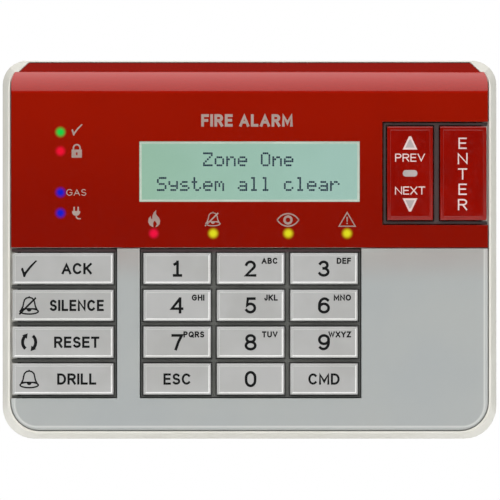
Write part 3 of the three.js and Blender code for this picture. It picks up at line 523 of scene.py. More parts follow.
for name, x, z in (("capacitor_large", 0.050, 0.030), ("capacitor_small", -0.030, -0.046)):
    foot = block(name + "_foot", (x, BOARD_BACK + FOOT[1] / 2, z), FOOT, black_plastic, 0.0003)
    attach(foot, "front")
    mesh = bpy.data.meshes.new(name)
    points = [(radius * REDUCTION, up * REDUCTION, 0) for radius, up in CAN]
    mesh.from_pydata(points, [(i, i + 1) for i in range(len(CAN) - 1)], [])
    can = bpy.data.objects.new(name, mesh)
    bpy.context.scene.collection.objects.link(can)
    alone(can)
    spin = can.modifiers.new("turned", "SCREW")
    spin.axis = "Y"
    spin.steps = CAN_STEPS
    spin.render_steps = CAN_STEPS
    spin.use_merge_vertices = True
    spin.merge_threshold = 1e-6
    bpy.ops.object.modifier_apply(modifier=spin.name)
    can.location = (x, BOARD_BACK, z)
    bpy.ops.object.transform_apply(location=True, rotation=False, scale=False)
    bpy.ops.object.mode_set(mode="EDIT")
    bpy.ops.mesh.select_all(action="SELECT")
    bpy.ops.mesh.remove_doubles(threshold=2e-6)
    bpy.ops.mesh.normals_make_consistent(inside=False)
    bpy.ops.object.mode_set(mode="OBJECT")
    finish_shell(can, plated_steel)
    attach(can, "front")
RESISTOR = (0.0011, 0.00045, 0.0008)
RESISTOR_END = (0.0003, 0.0005, 0.00085)
RESISTOR_PITCH = 0.0016
END_X = 0.00065
# x and z of the upper end of each row, and how many stand in it
RESISTOR_ROWS = ((-0.018, 0.038, 6), (0.012, 0.038, 6), (-0.042, 0.036, 4), (0.020, -0.046, 5))
first = block("resistor_1", (0, 0, 0), RESISTOR, black_plastic, 0.00003)
for side in (-1, 1):
    block("end", (side * END_X, 0, 0), RESISTOR_END, plated_steel, 0.00004)
    first.select_set(True)
    bpy.context.view_layer.objects.active = first
    bpy.ops.object.join()
places = [(x, z - step * RESISTOR_PITCH) for x, z, count in RESISTOR_ROWS for step in range(count)]
resistors = [first]
for number in range(2, len(places) + 1):
    copied = bpy.data.objects.new(f"resistor_{number}", first.data.copy())
    bpy.context.scene.collection.objects.link(copied)
    resistors.append(copied)
for resistor, (x, z) in zip(resistors, places):
    alone(resistor)
    resistor.location = (x, BOARD_BACK + 0.00026, z)
    bpy.ops.object.transform_apply(location=True, rotation=False, scale=False)
    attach(resistor, "front")

# ---- Address switches and their dials ------------------------------------------------------
# Two small rotary switches that set the panel's number on its bus. The dial is a pale disc with
# an arrow sunk in it for a screwdriver.
blue_plastic = moulded_plastic(
    "blue_plastic", linear(42, 84, 150), linear(34, 72, 132), 0.36, 0.0003, 0.00004
)
pale_plastic = moulded_plastic(
    "pale_plastic", linear(236, 237, 230), linear(224, 225, 217), 0.3, 0.0003, 0.00003
)
for digit in ("tens", "ones"):
    body = merged_copy(f"address_switch_{digit}", f"switch_housing_{digit}")
    finish_shell(body, blue_plastic, 0.00018)
    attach(body, "front")
    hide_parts(f"address_switch_{digit}")
    dial = merged_copy(f"address_dial_{digit}", f"arrow_dial_{digit}")
    finish_shell(dial, pale_plastic, 0.0001)
    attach(dial, f"address_dial_{digit}")
    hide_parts(f"address_dial_{digit}")

# ---- Tamper plunger ------------------------------------------------------------------------
# The moulded pin that a post on the base holds in. It springs out when the front is lifted
# off, and the switch reports it.
pin = merged_copy("tamper_plunger", "tamper_pin")
finish_shell(pin, pale_plastic, 0.00025, 3)
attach(pin, "tamper_plunger")
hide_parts("tamper_plunger")

# ---- Lamps and light guides ----------------------------------------------------------------
# Eight small lamps on the board, each behind a clear acrylic rod that carries its light to the
# back of the red fascia.
LAMP_BLUE = linear(18, 26, 196)
LAMP_YELLOW = linear(222, 218, 28)
LAMP_COLOURS = {
    "led_normal": linear(24, 204, 68),
    "led_security": linear(238, 10, 50),
    "led_gas": LAMP_BLUE,
    "led_power": LAMP_BLUE,
    "led_fire": linear(238, 12, 62),
    "led_silenced": LAMP_YELLOW,
    "led_supervisory": LAMP_YELLOW,
    "led_trouble": LAMP_YELLOW,
}
LAMP_GLOW = {}


def lit_material(colour):
    """A lit lamp: clear resin that glows most in its middle."""
    material, tree, shader, place = new_material(f"lamp_resin_{len(LAMP_GLOW) + 1}")
    speck = noise(tree, place, 1500.0)
    glow = blend_colours(tree, spread(tree, speck, 0.2, 0.8, 0.0, 0.3), colour, (1, 1, 1, 1))
    tree.links.new(glow, shader.inputs["Base Color"])
    tree.links.new(glow, shader.inputs["Emission Color"])
    vary_polish(tree, shader, speck, 0.1, 0.25)
    shader.inputs["Emission Strength"].default_value = 1.5
    return material


for node, colour in LAMP_COLOURS.items():
    if colour not in LAMP_GLOW:
        LAMP_GLOW[colour] = lit_material(colour)
    dress(node, LAMP_GLOW[colour])

clear_acrylic, _, shader, _, _ = mottled(
    "clear_acrylic", 300.0, 3.0, linear(238, 240, 234), linear(226, 230, 224), 0.05, 0.16
)
shader.inputs["Transmission Weight"].default_value = 0.6
dress("column_light_guide", clear_acrylic)
dress("row_light_guide", clear_acrylic)
dress("display_backlight", clear_acrylic)

# ---- Rubber keypad mat and contact strip ---------------------------------------------------
# One sheet of grey silicone rubber with a dome under each key, and the soft strip that joins
# the display to the board. Both are dusty and dull.
rubber, tree, shader, _, dust = mottled(
    "silicone_rubber", 260.0, 6.0, linear(132, 136, 138), linear(154, 157, 158), 0.7, 0.9
)
add_bump(tree, shader, dust, 0.3, 0.00003)
shader.inputs["Sheen Weight"].default_value = 0.2
dress("keypad_mat", rubber)
dress("display_contact_strip", rubber)

# ---- Display -------------------------------------------------------------------------------
# A two-line text display: plated steel bezel, lit green glass with a faint grid of cells, and
# the dark cells that make the text.
dress("display_bezel", plated_steel)
glass_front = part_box("display_glass")[0].y
CELL_X = 0.000615  # from cell to cell
CELL_Z = 0.00064
CELL_GAP = 0.00004
LINE_LENGTH = 16
CELLS_PER_LETTER = 6
LETTER_ROWS = 7
CELL_RISE = 0.00003  # how far they stand off the glass
CELL_DEPTH = 0.00002
TEXT_MIDDLE = -0.0004
UPPER_LINE_Z = 0.0288
LOWER_LINE_Z = 0.0209
lit_glass, tree, shader, place = new_material("lit_display_glass")
across = add_node(tree, "SeparateXYZ", {"Vector": place}).outputs
# The glow is painted darker towards the left: painted shade.
left_painted_shade = spread(tree, across["X"], -0.036, 0.036, kind="LINEAR")
cloud = noise(tree, place, 90.0)
uneven = math_node(tree, "ADD", left_painted_shade, math_node(tree, "MULTIPLY", cloud, 0.25))
lit = blend_colours(tree, uneven, linear(155, 193, 170), linear(166, 201, 191))
lines_x = math_node(tree, "PINGPONG", across["X"], CELL_X / 2)
lines_z = math_node(tree, "PINGPONG", across["Z"], CELL_Z / 2)
nearest = math_node(tree, "MINIMUM", lines_x, lines_z)
grid = spread(tree, nearest, 0.0, 0.00008, 0.06, 0.0)
gridded = blend_colours(tree, grid, lit, linear(190, 214, 200))
tree.links.new(gridded, shader.inputs["Emission Color"])
shader.inputs["Emission Strength"].default_value = 0.92
tree.links.new(
    blend_colours(tree, cloud, linear(26, 34, 30), linear(34, 42, 38)), shader.inputs["Base Color"]
)
vary_polish(tree, shader, cloud, 0.12, 0.2)
dress("display_glass", lit_glass)

# Each letter is seven rows of five cells, written as numbers whose bits are the dark cells.
LETTERS = {
    " ": (0, 0, 0, 0, 0, 0, 0),
    "Z": (31, 1, 2, 4, 8, 16, 31),
    "O": (14, 17, 17, 17, 17, 17, 14),
    "S": (15, 16, 16, 14, 1, 1, 30),
    "a": (0, 0, 14, 1, 15, 17, 15),
    "c": (0, 0, 14, 16, 16, 17, 14),
    "e": (0, 0, 14, 17, 31, 16, 14),
    "l": (12, 4, 4, 4, 4, 4, 14),
    "m": (0, 0, 26, 21, 21, 17, 17),
    "n": (0, 0, 22, 25, 17, 17, 17),
    "o": (0, 0, 14, 17, 17, 17, 14),
    "r": (0, 0, 22, 25, 16, 16, 16),
    "s": (0, 0, 14, 16, 14, 1, 30),
    "t": (8, 8, 28, 8, 8, 9, 6),
    "y": (0, 0, 17, 17, 15, 1, 14),
}
dark_cells, tree, shader, place = new_material("dark_cells")
cloud = noise(tree, place, 500.0)
cell_tone = blend_colours(tree, cloud, linear(8, 26, 56), linear(18, 38, 66))
tree.links.new(cell_tone, shader.inputs["Emission Color"])
shader.inputs["Emission Strength"].default_value = 0.85
shader.inputs["Base Color"].default_value = (0.01, 0.015, 0.015, 1)
vary_polish(tree, shader, cloud, 0.2, 0.3)


def display_line(name, words, middle_z):
    """One line of text: a sheet of cells with the clear ones taken out and the rest drawn apart."""
    columns = LINE_LENGTH * CELLS_PER_LETTER
    bpy.ops.object.select_all(action="DESELECT")
    bpy.ops.mesh.primitive_grid_add(
        x_subdivisions=columns,
        y_subdivisions=LETTER_ROWS,
        size=1,
        rotation=(math.radians(90), 0, 0),
        location=(TEXT_MIDDLE + CELL_X / 2, glass_front - CELL_RISE, middle_z),
    )
    line = bpy.context.object
    line.name = name
    line.scale = (columns * CELL_X, LETTER_ROWS * CELL_Z, 1)
    bpy.ops.object.transform_apply(location=True, rotation=True, scale=True)
    padded = words.center(LINE_LENGTH)
    left = min(v.co.x for v in line.data.vertices)
    top = max(v.co.z for v in line.data.vertices)
    for part in (line.data.vertices, line.data.edges, line.data.polygons):
        part.foreach_set("select", [False] * len(part))
    for face in line.data.polygons:
        column = int((face.center.x - left) / CELL_X)
        row = int((top - face.center.z) / CELL_Z)
        bit = 4 - column % CELLS_PER_LETTER
        letter = LETTERS[padded[column // CELLS_PER_LETTER]]
        face.select = bit < 0 or not letter[row] >> bit & 1
    bpy.context.tool_settings.mesh_select_mode = (False, False, True)
    bpy.ops.object.mode_set(mode="EDIT")
    bpy.ops.mesh.delete(type="FACE")
    bpy.ops.mesh.select_all(action="SELECT")
    bpy.ops.mesh.inset(thickness=CELL_GAP / 2, use_individual=True)
    bpy.ops.mesh.select_all(action="INVERT")
    bpy.ops.mesh.delete(type="FACE")
    bpy.ops.mesh.select_all(action="SELECT")
    bpy.ops.mesh.extrude_region_move(TRANSFORM_OT_translate={"value": (0, CELL_DEPTH, 0)})
    bpy.ops.mesh.select_all(action="SELECT")
    bpy.ops.mesh.normals_make_consistent(inside=False)
    bpy.ops.object.mode_set(mode="OBJECT")
    line.data.materials.append(dark_cells)
    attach(line, "front")


display_line("display_text_upper", "Zone One", UPPER_LINE_Z)
display_line("display_text_lower", "System all clear", LOWER_LINE_Z)

# ---- Display window ------------------------------------------------------------------------
# A clear acrylic pane set flush in the red fascia. A pale line all round its front edge is a
# painted highlight, standing for the light that the polished edge catches.
clear_pane, _, shader, _, _ = mottled(
    "clear_pane", 120.0, 3.0, linear(252, 254, 252), linear(246, 250, 247), 0.0, 0.03
)
shader.inputs["Transmission Weight"].default_value = 1.0
shader.inputs["IOR"].default_value = 1.3
PANE_FRONT_Y = -0.025  # the front edges are in front of this
pane = merged_copy("display_window", "window_pane")
round_edges(pane, lambda middle, start, end: middle.y < PANE_FRONT_Y, 0.0002, 2)
finish_shell(pane, clear_pane)
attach(pane, "front")
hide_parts("display_window")

EDGE_LINE = 0.00055
EDGE_OVERLAP = 0.0003  # it covers the rounded edge
EDGE_DEPTH = 0.00004
# A pale ring over the pane's rounded front edge: a painted highlight.
painted_edge_highlight = moulded_plastic(
    "painted_edge_highlight", linear(196, 204, 190), linear(180, 190, 176), 0.2, 0.0004, 0.00002
)
pane_low = min(v.co.y for v in pane.data.vertices)
pane_front = [v.co for v in pane.data.vertices if v.co.y < pane_low + 0.0003]
pane_left, pane_right = min(v.x for v in pane_front), max(v.x for v in pane_front)
pane_bottom, pane_top = min(v.z for v in pane_front), max(v.z for v in pane_front)
bpy.ops.object.select_all(action="DESELECT")
bpy.ops.mesh.primitive_plane_add(
    size=1,
    rotation=(math.radians(90), 0, 0),
    location=((pane_left + pane_right) / 2, pane_low - 0.00002, (pane_bottom + pane_top) / 2),
)
edge_line = bpy.context.object
edge_line.name = "window_edge_highlight"
edge_line.scale = (
    pane_right - pane_left + EDGE_OVERLAP,
    pane_top - pane_bottom + EDGE_OVERLAP,
    1,
)
bpy.ops.object.transform_apply(location=True, rotation=True, scale=True)
bpy.ops.object.mode_set(mode="EDIT")
bpy.ops.mesh.select_all(action="SELECT")
bpy.ops.mesh.inset(thickness=EDGE_LINE)
bpy.ops.mesh.delete(type="FACE")
bpy.ops.mesh.select_all(action="SELECT")
bpy.ops.mesh.extrude_region_move(TRANSFORM_OT_translate={"value": (0, -EDGE_DEPTH, 0)})
bpy.ops.mesh.select_all(action="SELECT")
bpy.ops.mesh.normals_make_consistent(inside=False)
bpy.ops.object.mode_set(mode="OBJECT")
finish_shell(edge_line, painted_edge_highlight)
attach(edge_line, "front")

# ---- Key frames ----------------------------------------------------------------------------
# Dark plastic gratings that fill the recesses round the keys and guide them. Next to the red
# fascia their top is painted a darker red brown: painted shade and painted red reflection.
# The strip under the red fascia that gets painted shade and painted red reflection.
FRAME_SHADE_START = -0.0016
FRAME_SHADE_END = -0.0004
dark_plastic = moulded_plastic(
    "dark_frame_plastic", linear(86, 87, 83), linear(76, 77, 74), 0.5, 0.0003, 0.00005
)
wine_plastic = moulded_plastic(
    "wine_frame_plastic", linear(74, 54, 52), linear(62, 44, 43), 0.45, 0.0003, 0.00005
)
tree = dark_plastic.node_tree
shader = tree.nodes["Principled BSDF"]
plain_tone = shader.inputs["Base Color"].links[0].from_socket
place = tree.nodes["Texture Coordinate"].outputs["Object"]
height = add_node(tree, "SeparateXYZ", {"Vector": place}).outputs["Z"]
frame_shade_share = spread(tree, height, FRAME_SHADE_START, FRAME_SHADE_END)
# The grating's top is blended to a dark red brown: painted shade and painted red reflection.
tree.links.new(
    blend_colours(tree, frame_shade_share, plain_tone, linear(70, 48, 50)), shader.inputs["Base Color"]
)
gratings = {
    "number_key_frame": ("number_grating", dark_plastic),
    "function_key_frame": ("function_grating", dark_plastic),
    "arrow_key_frame": ("arrow_grating", wine_plastic),
}
for node, (name, material) in gratings.items():
    grating = merged_copy(node, name)
    finish_shell(grating, material, 0.00012)
    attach(grating, "front")
    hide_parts(node)

# ---- Number keys ---------------------------------------------------------------------------
# Hollow grey caps with a sloping border and a fine groove round the printed field. The lower
# and right slopes of the border are painted lighter: a painted highlight. The legends are
# printed in black.
FLUSH = 1e-6  # points this close to a key's front belong to it
KEY_BORDER = 0.00042
KEY_SLOPE = 0.00003  # outer edge of the border, behind the field
KEY_GROOVE = 0.00008
FIELD_DEPTH = 0.00003  # printed field, behind the top of the border
INK = 0.00002
CORNER_REACH = 0.0004
HIGHLIGHT_SLOPE = 0.04  # a border that leans this much to the right or down gets a painted highlight
key_grey = moulded_plastic(
    "key_grey", linear(167, 167, 166), linear(160, 160, 158), 0.3, 0.00025, 0.00003, coat=0.3
)
# A lighter copy of the key grey, for the painted highlight on the lower and right border.
key_grey_painted_highlight = moulded_plastic(
    "key_grey_painted_highlight", linear(226, 226, 224), linear(218, 218, 215), 0.25, 0.00025, 0.00002, coat=0.3
)
black_ink, _, shader, _, _ = mottled(
    "black_ink", 1200.0, 2.0, linear(1, 1, 2), linear(7, 7, 8), 0.5, 0.65
)
shader.inputs["Specular IOR Level"].default_value = 0.15


def shaped_key(node, name, material, highlight_material, border=KEY_BORDER):
    """A key's cap with its sloping border, its groove and its flat field; the lower and right border
    slopes take a painted highlight.
    """
    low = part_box(node)[0]
    cap = merged_copy(node, name)
    top_level = low.y + FLUSH
    front = [v.co for v in cap.data.vertices if v.co.y < top_level]
    left, right = min(v.x for v in front), max(v.x for v in front)
    bottom, top = min(v.z for v in front), max(v.z for v in front)
    bpy.context.tool_settings.mesh_select_mode = (True, False, False)
    for corner_x in (left, right):
        for corner_z in (bottom, top):
            for point in cap.data.vertices:
                away = max(abs(point.co.x - corner_x), abs(point.co.z - corner_z))
                point.select = point.co.y < top_level and away < CORNER_REACH
            bpy.ops.object.mode_set(mode="EDIT")
            bpy.ops.mesh.merge(type="CENTER")
            bpy.ops.mesh.select_all(action="DESELECT")
            bpy.ops.object.mode_set(mode="OBJECT")
    for face in cap.data.polygons:
        face.select = face.normal.y < -0.99 and face.center.y < top_level
    bpy.context.tool_settings.mesh_select_mode = (False, False, True)
    bpy.ops.object.mode_set(mode="EDIT")
    bpy.ops.mesh.inset(thickness=border)
    bpy.ops.mesh.inset(thickness=KEY_GROOVE, depth=-KEY_GROOVE)
    bpy.ops.mesh.inset(thickness=KEY_GROOVE, depth=KEY_GROOVE - FIELD_DEPTH)
    bpy.ops.mesh.select_all(action="DESELECT")
    bpy.ops.object.mode_set(mode="OBJECT")
    for corner in cap.data.vertices:
        place = corner.co
        outer = min(place.x - left, right - place.x, place.z - bottom, top - place.z)
        corner.select = place.y < top_level and outer < border * 0.8
    bpy.context.tool_settings.mesh_select_mode = (True, False, False)
    bpy.ops.object.mode_set(mode="EDIT")
    bpy.ops.transform.translate(value=(0, KEY_SLOPE, 0))
    bpy.ops.mesh.select_all(action="DESELECT")
    bpy.ops.object.mode_set(mode="OBJECT")
    finish_shell(cap, material, 0.00004, 2, 12)
    # The lower and right border slopes get the lighter copy: a painted highlight.
    cap.data.materials.append(highlight_material)
    for face in cap.data.polygons:
        slopes = face.normal.x > HIGHLIGHT_SLOPE or face.normal.z < -HIGHLIGHT_SLOPE
        if slopes and face.center.y < low.y + KEY_SLOPE and face.normal.y < -0.5:
            face.material_index = 1
    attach(cap, node)
    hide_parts(node)
    return cap


def arc(x, z, radius_x, radius_z, start, end, steps=12):
    """Points along part of an ellipse, angles in degrees."""
    turns = [math.radians(start + (end - start) * i / steps) for i in range(steps + 1)]
    return [(x + radius_x * math.cos(t), z + radius_z * math.sin(t)) for t in turns]


def pen(points, width, closed=False, reach_on=0.0):
    """The outline of a line of a pen's width: one loop, or two where the line is closed.

    reach_on is how far an open line runs on past its two end points.
    """
    count = len(points)
    if reach_on and not closed:
        points = [Vector(point) for point in points]
        first = (points[0] - points[1]).normalized() * reach_on
        last = (points[-1] - points[-2]).normalized() * reach_on
        points = [points[0] + first, *points[1:-1], points[-1] + last]
    sides = ([], [])
    for i, (x, z) in enumerate(points):
        before = points[i - 1] if closed or i else None
        after = points[(i + 1) % count] if closed or i < count - 1 else None
        runs = []
        for a, b in ((before, (x, z)), ((x, z), after)):
            if a is not None and b is not None:
                runs.append(Vector((b[0] - a[0], b[1] - a[1])).normalized())
        along = sum(runs, Vector((0, 0))).normalized()
        square = Vector((-along.y, along.x))
        reach = width / 2 / max(0.5, abs(runs[0].dot(along)))
        sides[0].append((x + square.x * reach, z + square.y * reach))
        sides[1].append((x - square.x * reach, z - square.y * reach))
    return list(sides) if closed else [sides[0] + sides[1][::-1]]


def printed_sign(name, shapes, x, z, unit, face, body, ink):
    """A printed sign made of filled shapes, each one loop or a loop with holes.

    The shapes are drawn large, where thin outlines still fill cleanly, and then reduced.
    Shapes that cross lie a hair apart, as layers of ink do.
    """
    bpy.ops.object.select_all(action="DESELECT")
    for number, loops in enumerate(shapes):
        sized = [[(px * unit, pz * unit) for px, pz in loop] for loop in loops]
        part = filled_outline(name, sized, INK)
        part.location.z = -(number % 3) * INK / 6 / REDUCTION
        part.select_set(True)
        bpy.context.view_layer.objects.active = part
    bpy.ops.object.convert(target="MESH")
    bpy.ops.object.transform_apply(location=True, rotation=False, scale=False)
    bpy.ops.object.join()
    sign = bpy.context.object
    sign.name = name
    sign.location = (x, face - INK / 2, z)
    sign.rotation_euler = (math.radians(90), 0, 0)
    sign.scale = (REDUCTION, REDUCTION, REDUCTION)
    bpy.ops.object.transform_apply(location=True, rotation=True, scale=True)
    sign.data.materials.clear()
    sign.data.materials.append(ink)
    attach(sign, body)
    return sign


# Each letter is drawn with one pen: its width to its height, and its lines in a unit square.
ROUND = [arc(0.5, 0.5, 0.5, 0.5, 0, 345, 23)]
SIX = [arc(0.5, 0.31, 0.5, 0.31, 0, 345, 23), arc(0.56, 0.5, 0.56, 0.5, 52, 196)]
PEN_LETTERS = {
    "0": (0.72, [arc(0.5, 0.6, 0.5, 0.4, 0, 180) + arc(0.5, 0.4, 0.5, 0.4, 180, 360)]),
    "1": (0.62, [[(0.54, 0), (0.54, 1)], [(0.5, 0.92), (0.16, 0.82)], [(0.08, 0), (1, 0)]]),
    "2": (0.72, [arc(0.48, 0.72, 0.46, 0.28, 165, -30) + [(0, 0), (1, 0)]]),
    "3": (0.72, [arc(0.46, 0.76, 0.42, 0.24, 155, -90), arc(0.47, 0.26, 0.5, 0.26, 90, -155)]),
    "4": (0.84, [[(0.76, 0), (0.76, 1)], [(0.7, 0.95), (0.02, 0.26), (0.95, 0.26)]]),
    "5": (0.72, [[(0.92, 1), (0.2, 1), (0.1, 0.5), *arc(0.47, 0.31, 0.5, 0.31, 118, -150)]]),
    "6": (0.74, SIX),
    "7": (0.72, [[(0, 1), (1, 1), (0.62, 0.5), (0.36, 0)]]),
    "8": (0.74, [arc(0.5, 0.76, 0.43, 0.24, 0, 345, 23), arc(0.5, 0.26, 0.5, 0.27, 0, 345, 23)]),
    "9": (0.74, [[(1 - px, 1 - pz) for px, pz in line] for line in SIX]),
    "A": (0.96, [[(0, 0), (0.5, 0.94), (1, 0)], [(0.2, 0.32), (0.8, 0.32)]]),
    "B": (0.8, [[(0, 0), (0, 1)], [(0.1, 1), *arc(0.5, 0.765, 0.4, 0.235, 90, -90), (0.1, 0.53)],
                [(0.1, 0.53), *arc(0.52, 0.265, 0.48, 0.265, 90, -90), (0.1, 0)]]),
    "C": (0.92, [arc(0.52, 0.5, 0.52, 0.5, 45, 315, 20)]),
    "D": (0.88, [[(0, 0.5), (0, 1), *arc(0.4, 0.5, 0.6, 0.5, 90, -90), (0, 0), (0, 0.5)]]),
    "E": (0.74, [[(1, 1), (0, 1), (0, 0), (1, 0)], [(0, 0.52), (0.9, 0.52)]]),
    "F": (0.72, [[(1, 1), (0, 1), (0, 0)], [(0, 0.5), (0.88, 0.5)]]),
    "G": (0.96, [arc(0.52, 0.5, 0.52, 0.5, 45, 322, 20) + [(0.98, 0.48), (0.58, 0.48)]]),
    "H": (0.86, [[(0, 0), (0, 1)], [(1, 0), (1, 1)], [(0, 0.52), (1, 0.52)]]),
    "I": (0.17, [[(0.5, 0), (0.5, 1)]]),
    "J": (0.62, [[(1, 1), *arc(0.5, 0.32, 0.5, 0.32, 0, -175)]]),
    "K": (0.84, [[(0, 0), (0, 1)], [(1, 1), (0.02, 0.38)], [(0.32, 0.58), (1, 0)]]),
    "L": (0.7, [[(0, 1), (0, 0), (1, 0)]]),
    "M": (1.04, [[(0, 0), (0, 0.97), (0.5, 0.22), (1, 0.97), (1, 0)]]),
    "N": (0.88, [[(0, 0), (0, 0.97), (1, 0.03), (1, 1)]]),
    "O": (1.0, ROUND),
    "P": (0.78, [[(0, 0), (0, 1)], [(0.1, 1), *arc(0.55, 0.745, 0.45, 0.255, 90, -90), (0.1, 0.49)]]),
    "Q": (1.0, ROUND + [[(0.62, 0.28), (1.0, -0.06)]]),
    "R": (0.84, [[(0, 0), (0, 1)], [(0.1, 1), *arc(0.55, 0.745, 0.42, 0.255, 90, -90), (0.1, 0.49)],
                 [(0.56, 0.44), (0.98, 0)]]),
    "S": (0.78, [arc(0.5, 0.75, 0.45, 0.25, 32, 262) + arc(0.5, 0.25, 0.5, 0.25, 82, -150)]),
    "T": (0.82, [[(0, 1), (1, 1)], [(0.5, 0), (0.5, 1)]]),
    "U": (0.86, [[(0, 1), *arc(0.5, 0.34, 0.5, 0.34, 180, 360), (1, 1)]]),
    "V": (0.92, [[(0, 1), (0.5, 0.06), (1, 1)]]),
    "W": (1.2, [[(0, 1), (0.26, 0.06), (0.5, 0.9), (0.74, 0.06), (1, 1)]]),
    "X": (0.88, [[(0, 0), (1, 1)], [(0, 1), (1, 0)]]),
    "Y": (0.88, [[(0, 1), (0.5, 0.46), (1, 1)], [(0.5, 0), (0.5, 0.46)]]),
    "Z": (0.8, [[(0, 1), (1, 1), (0, 0), (1, 0)]]),
}
CLOSED_LETTERS = {"0": 1, "6": 1, "8": 2, "9": 1, "O": 1, "Q": 1, "D": 1}


def printed_words(
    name, words, x, z, cap, face, body, ink, weight=0.15, align=0.5, space=0.17, stretch=1.0
):
    """A line of capitals. align is the share of the line that lies to the left of x."""
    shapes = []
    reached = 0.0
    for letter in words:
        if letter == " ":
            reached += 0.4
            continue
        width, lines = PEN_LETTERS[letter]
        width = weight + (width - weight) * stretch
        for number, line in enumerate(lines):
            drawn = [
                (
                    reached + weight / 2 + px * (width - weight),
                    weight / 2 + pz * (1 - weight) - 0.5,
                )
                for px, pz in line
            ]
            closed = number < CLOSED_LETTERS.get(letter, 0)
            if closed and drawn[0] == drawn[-1]:
                drawn.pop()
            shapes.append(pen(drawn, weight, closed, weight * 0.48))
        reached += width + space
    shift = (reached - space) * align
    moved = [[[(px - shift, pz) for px, pz in loop] for loop in shape] for shape in shapes]
    return printed_sign(name, moved, x, z, cap, face, body, ink)


NUMBER_CAP = 0.0052
NUMBER_WEIGHT = 0.165  # line of the pen, as a share of the capitals' height
LETTER_CAP = 0.00195
LETTER_WEIGHT = 0.23
WORD_CAP = 0.0036
WORD_WEIGHT = 0.19
WORD_STRETCH = 0.86
LETTER_RISE = 0.0025  # small letters above the middle of the key
LETTER_SIDE = 0.0018  # and in from the right edge of its top
NUMBER_LEGENDS = {
    "key_1": ("1", ""),
    "key_2": ("2", "ABC"),
    "key_3": ("3", "DEF"),
    "key_4": ("4", "GHI"),
    "key_5": ("5", "JKL"),
    "key_6": ("6", "MNO"),
    "key_7": ("7", "PQRS"),
    "key_8": ("8", "TUV"),
    "key_9": ("9", "WXYZ"),
    "key_escape": ("ESC", ""),
    "key_0": ("0", ""),
    "key_command": ("CMD", ""),
}
for node, (main, small) in NUMBER_LEGENDS.items():
    cap = shaped_key(node, node + "_cap", key_grey, key_grey_painted_highlight)
    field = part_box(node)[0].y + FIELD_DEPTH
    front = [v.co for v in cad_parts[node].data.vertices if v.co.y < field]
    left, right = min(v.x for v in front), max(v.x for v in front)
    middle = (min(v.z for v in front) + max(v.z for v in front)) / 2
    digit = len(main) == 1
    word = printed_words(
        node + "_print",
        main,
        (left + right) / 2,
        middle,
        NUMBER_CAP if digit else WORD_CAP,
        field,
        node,
        black_ink,
        weight=NUMBER_WEIGHT if digit else WORD_WEIGHT,
        space=0.13,
        stretch=1.0 if digit else WORD_STRETCH,
    )
    if small:
        word = printed_words(
            node + "_letters",
            small,
            right - LETTER_SIDE,
            middle + LETTER_RISE,
            LETTER_CAP,
            field,
            node,
            black_ink,
            weight=LETTER_WEIGHT,
            align=1.0,
            space=0.12,
            stretch=WORD_STRETCH,
        )

# ---- Function keys -------------------------------------------------------------------------
# Four wide keys of the same grey plastic, each printed with a drawn sign on its left and a
# word beside it. The longest word is drawn narrower.
SIGN_X = -0.0704
WORD_X = -0.0552
FUNCTION_CAP = 0.0036
FUNCTION_WEIGHT = 0.2
FUNCTION_STRETCH = 0.87
LONG_STRETCH = 0.76
DRAWING_UNIT = 0.00003172  # size of one step of the signs' drawings below


def bell(line):
    """A bell's outline, its brim and its clapper, drawn about its middle."""
    dome = [(-75, -34), (-62, -8), (-55, 29), (-47, 56), (-28, 74), (0, 81)]
    dome += [(-px, pz) for px, pz in dome[-2::-1]]
    brim = arc(0, -60, 92, 27, 0, 345, 23)
    clapper = [arc(0, -34, 26, 28, 180, 360)]
    knob = [[(-14, 80), (0, 96), (14, 80)]]
    return [pen(dome, line, True), pen(brim, line, True), clapper, knob]


TICK = [
    [
        [(-82, -6), (-74, 8), (-62, 8), (-48, -34), (-40, -30), (10, 32), (66, 84), (82, 78)]
        + [(20, 10), (-30, -56), (-42, -86), (-58, -84), (-66, -50)]
    ]
]
SLASH = [pen([(-100, -90), (68, 78)], 18)]
ARROWS = [
    pen(arc(0, 0, 66, 78, 122, 236), 31),
    pen(arc(0, 0, 66, 78, -58, 56), 31),
    [[(-70, 70), (-14, 90), (-22, 34)]],
    [[(70, -70), (14, -90), (22, -34)]],
]
FUNCTION_LEGENDS = {
    "key_acknowledge": ("ACK", TICK),
    "key_silence": ("SILENCE", bell(15) + SLASH),
    "key_reset": ("RESET", ARROWS),
    "key_drill": ("DRILL", bell(15)),
}
for node, (main, sign) in FUNCTION_LEGENDS.items():
    cap = shaped_key(node, node + "_cap", key_grey, key_grey_painted_highlight)
    low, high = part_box(node)
    field = low.y + FIELD_DEPTH
    middle = (low.z + high.z) / 2
    word = printed_words(
        node + "_print",
        main,
        WORD_X,
        middle,
        FUNCTION_CAP,
        field,
        node,
        black_ink,
        weight=FUNCTION_WEIGHT,
        space=0.12,
        stretch=LONG_STRETCH if main == "SILENCE" else FUNCTION_STRETCH,
    )
    mark = printed_sign(
        node + "_sign", sign, SIGN_X, middle, DRAWING_UNIT, field, node, black_ink
    )

# ---- Enter key and arrow key ---------------------------------------------------------------
# Two tall red keys. The left one rocks about its middle: its upper end steps back through the
# messages and its lower end steps on. Their signs are printed in silver and white.
key_red = moulded_plastic(
    "key_red", linear(136, 10, 1), linear(126, 8, 1), 0.07, 0.0004, 0.000002
)
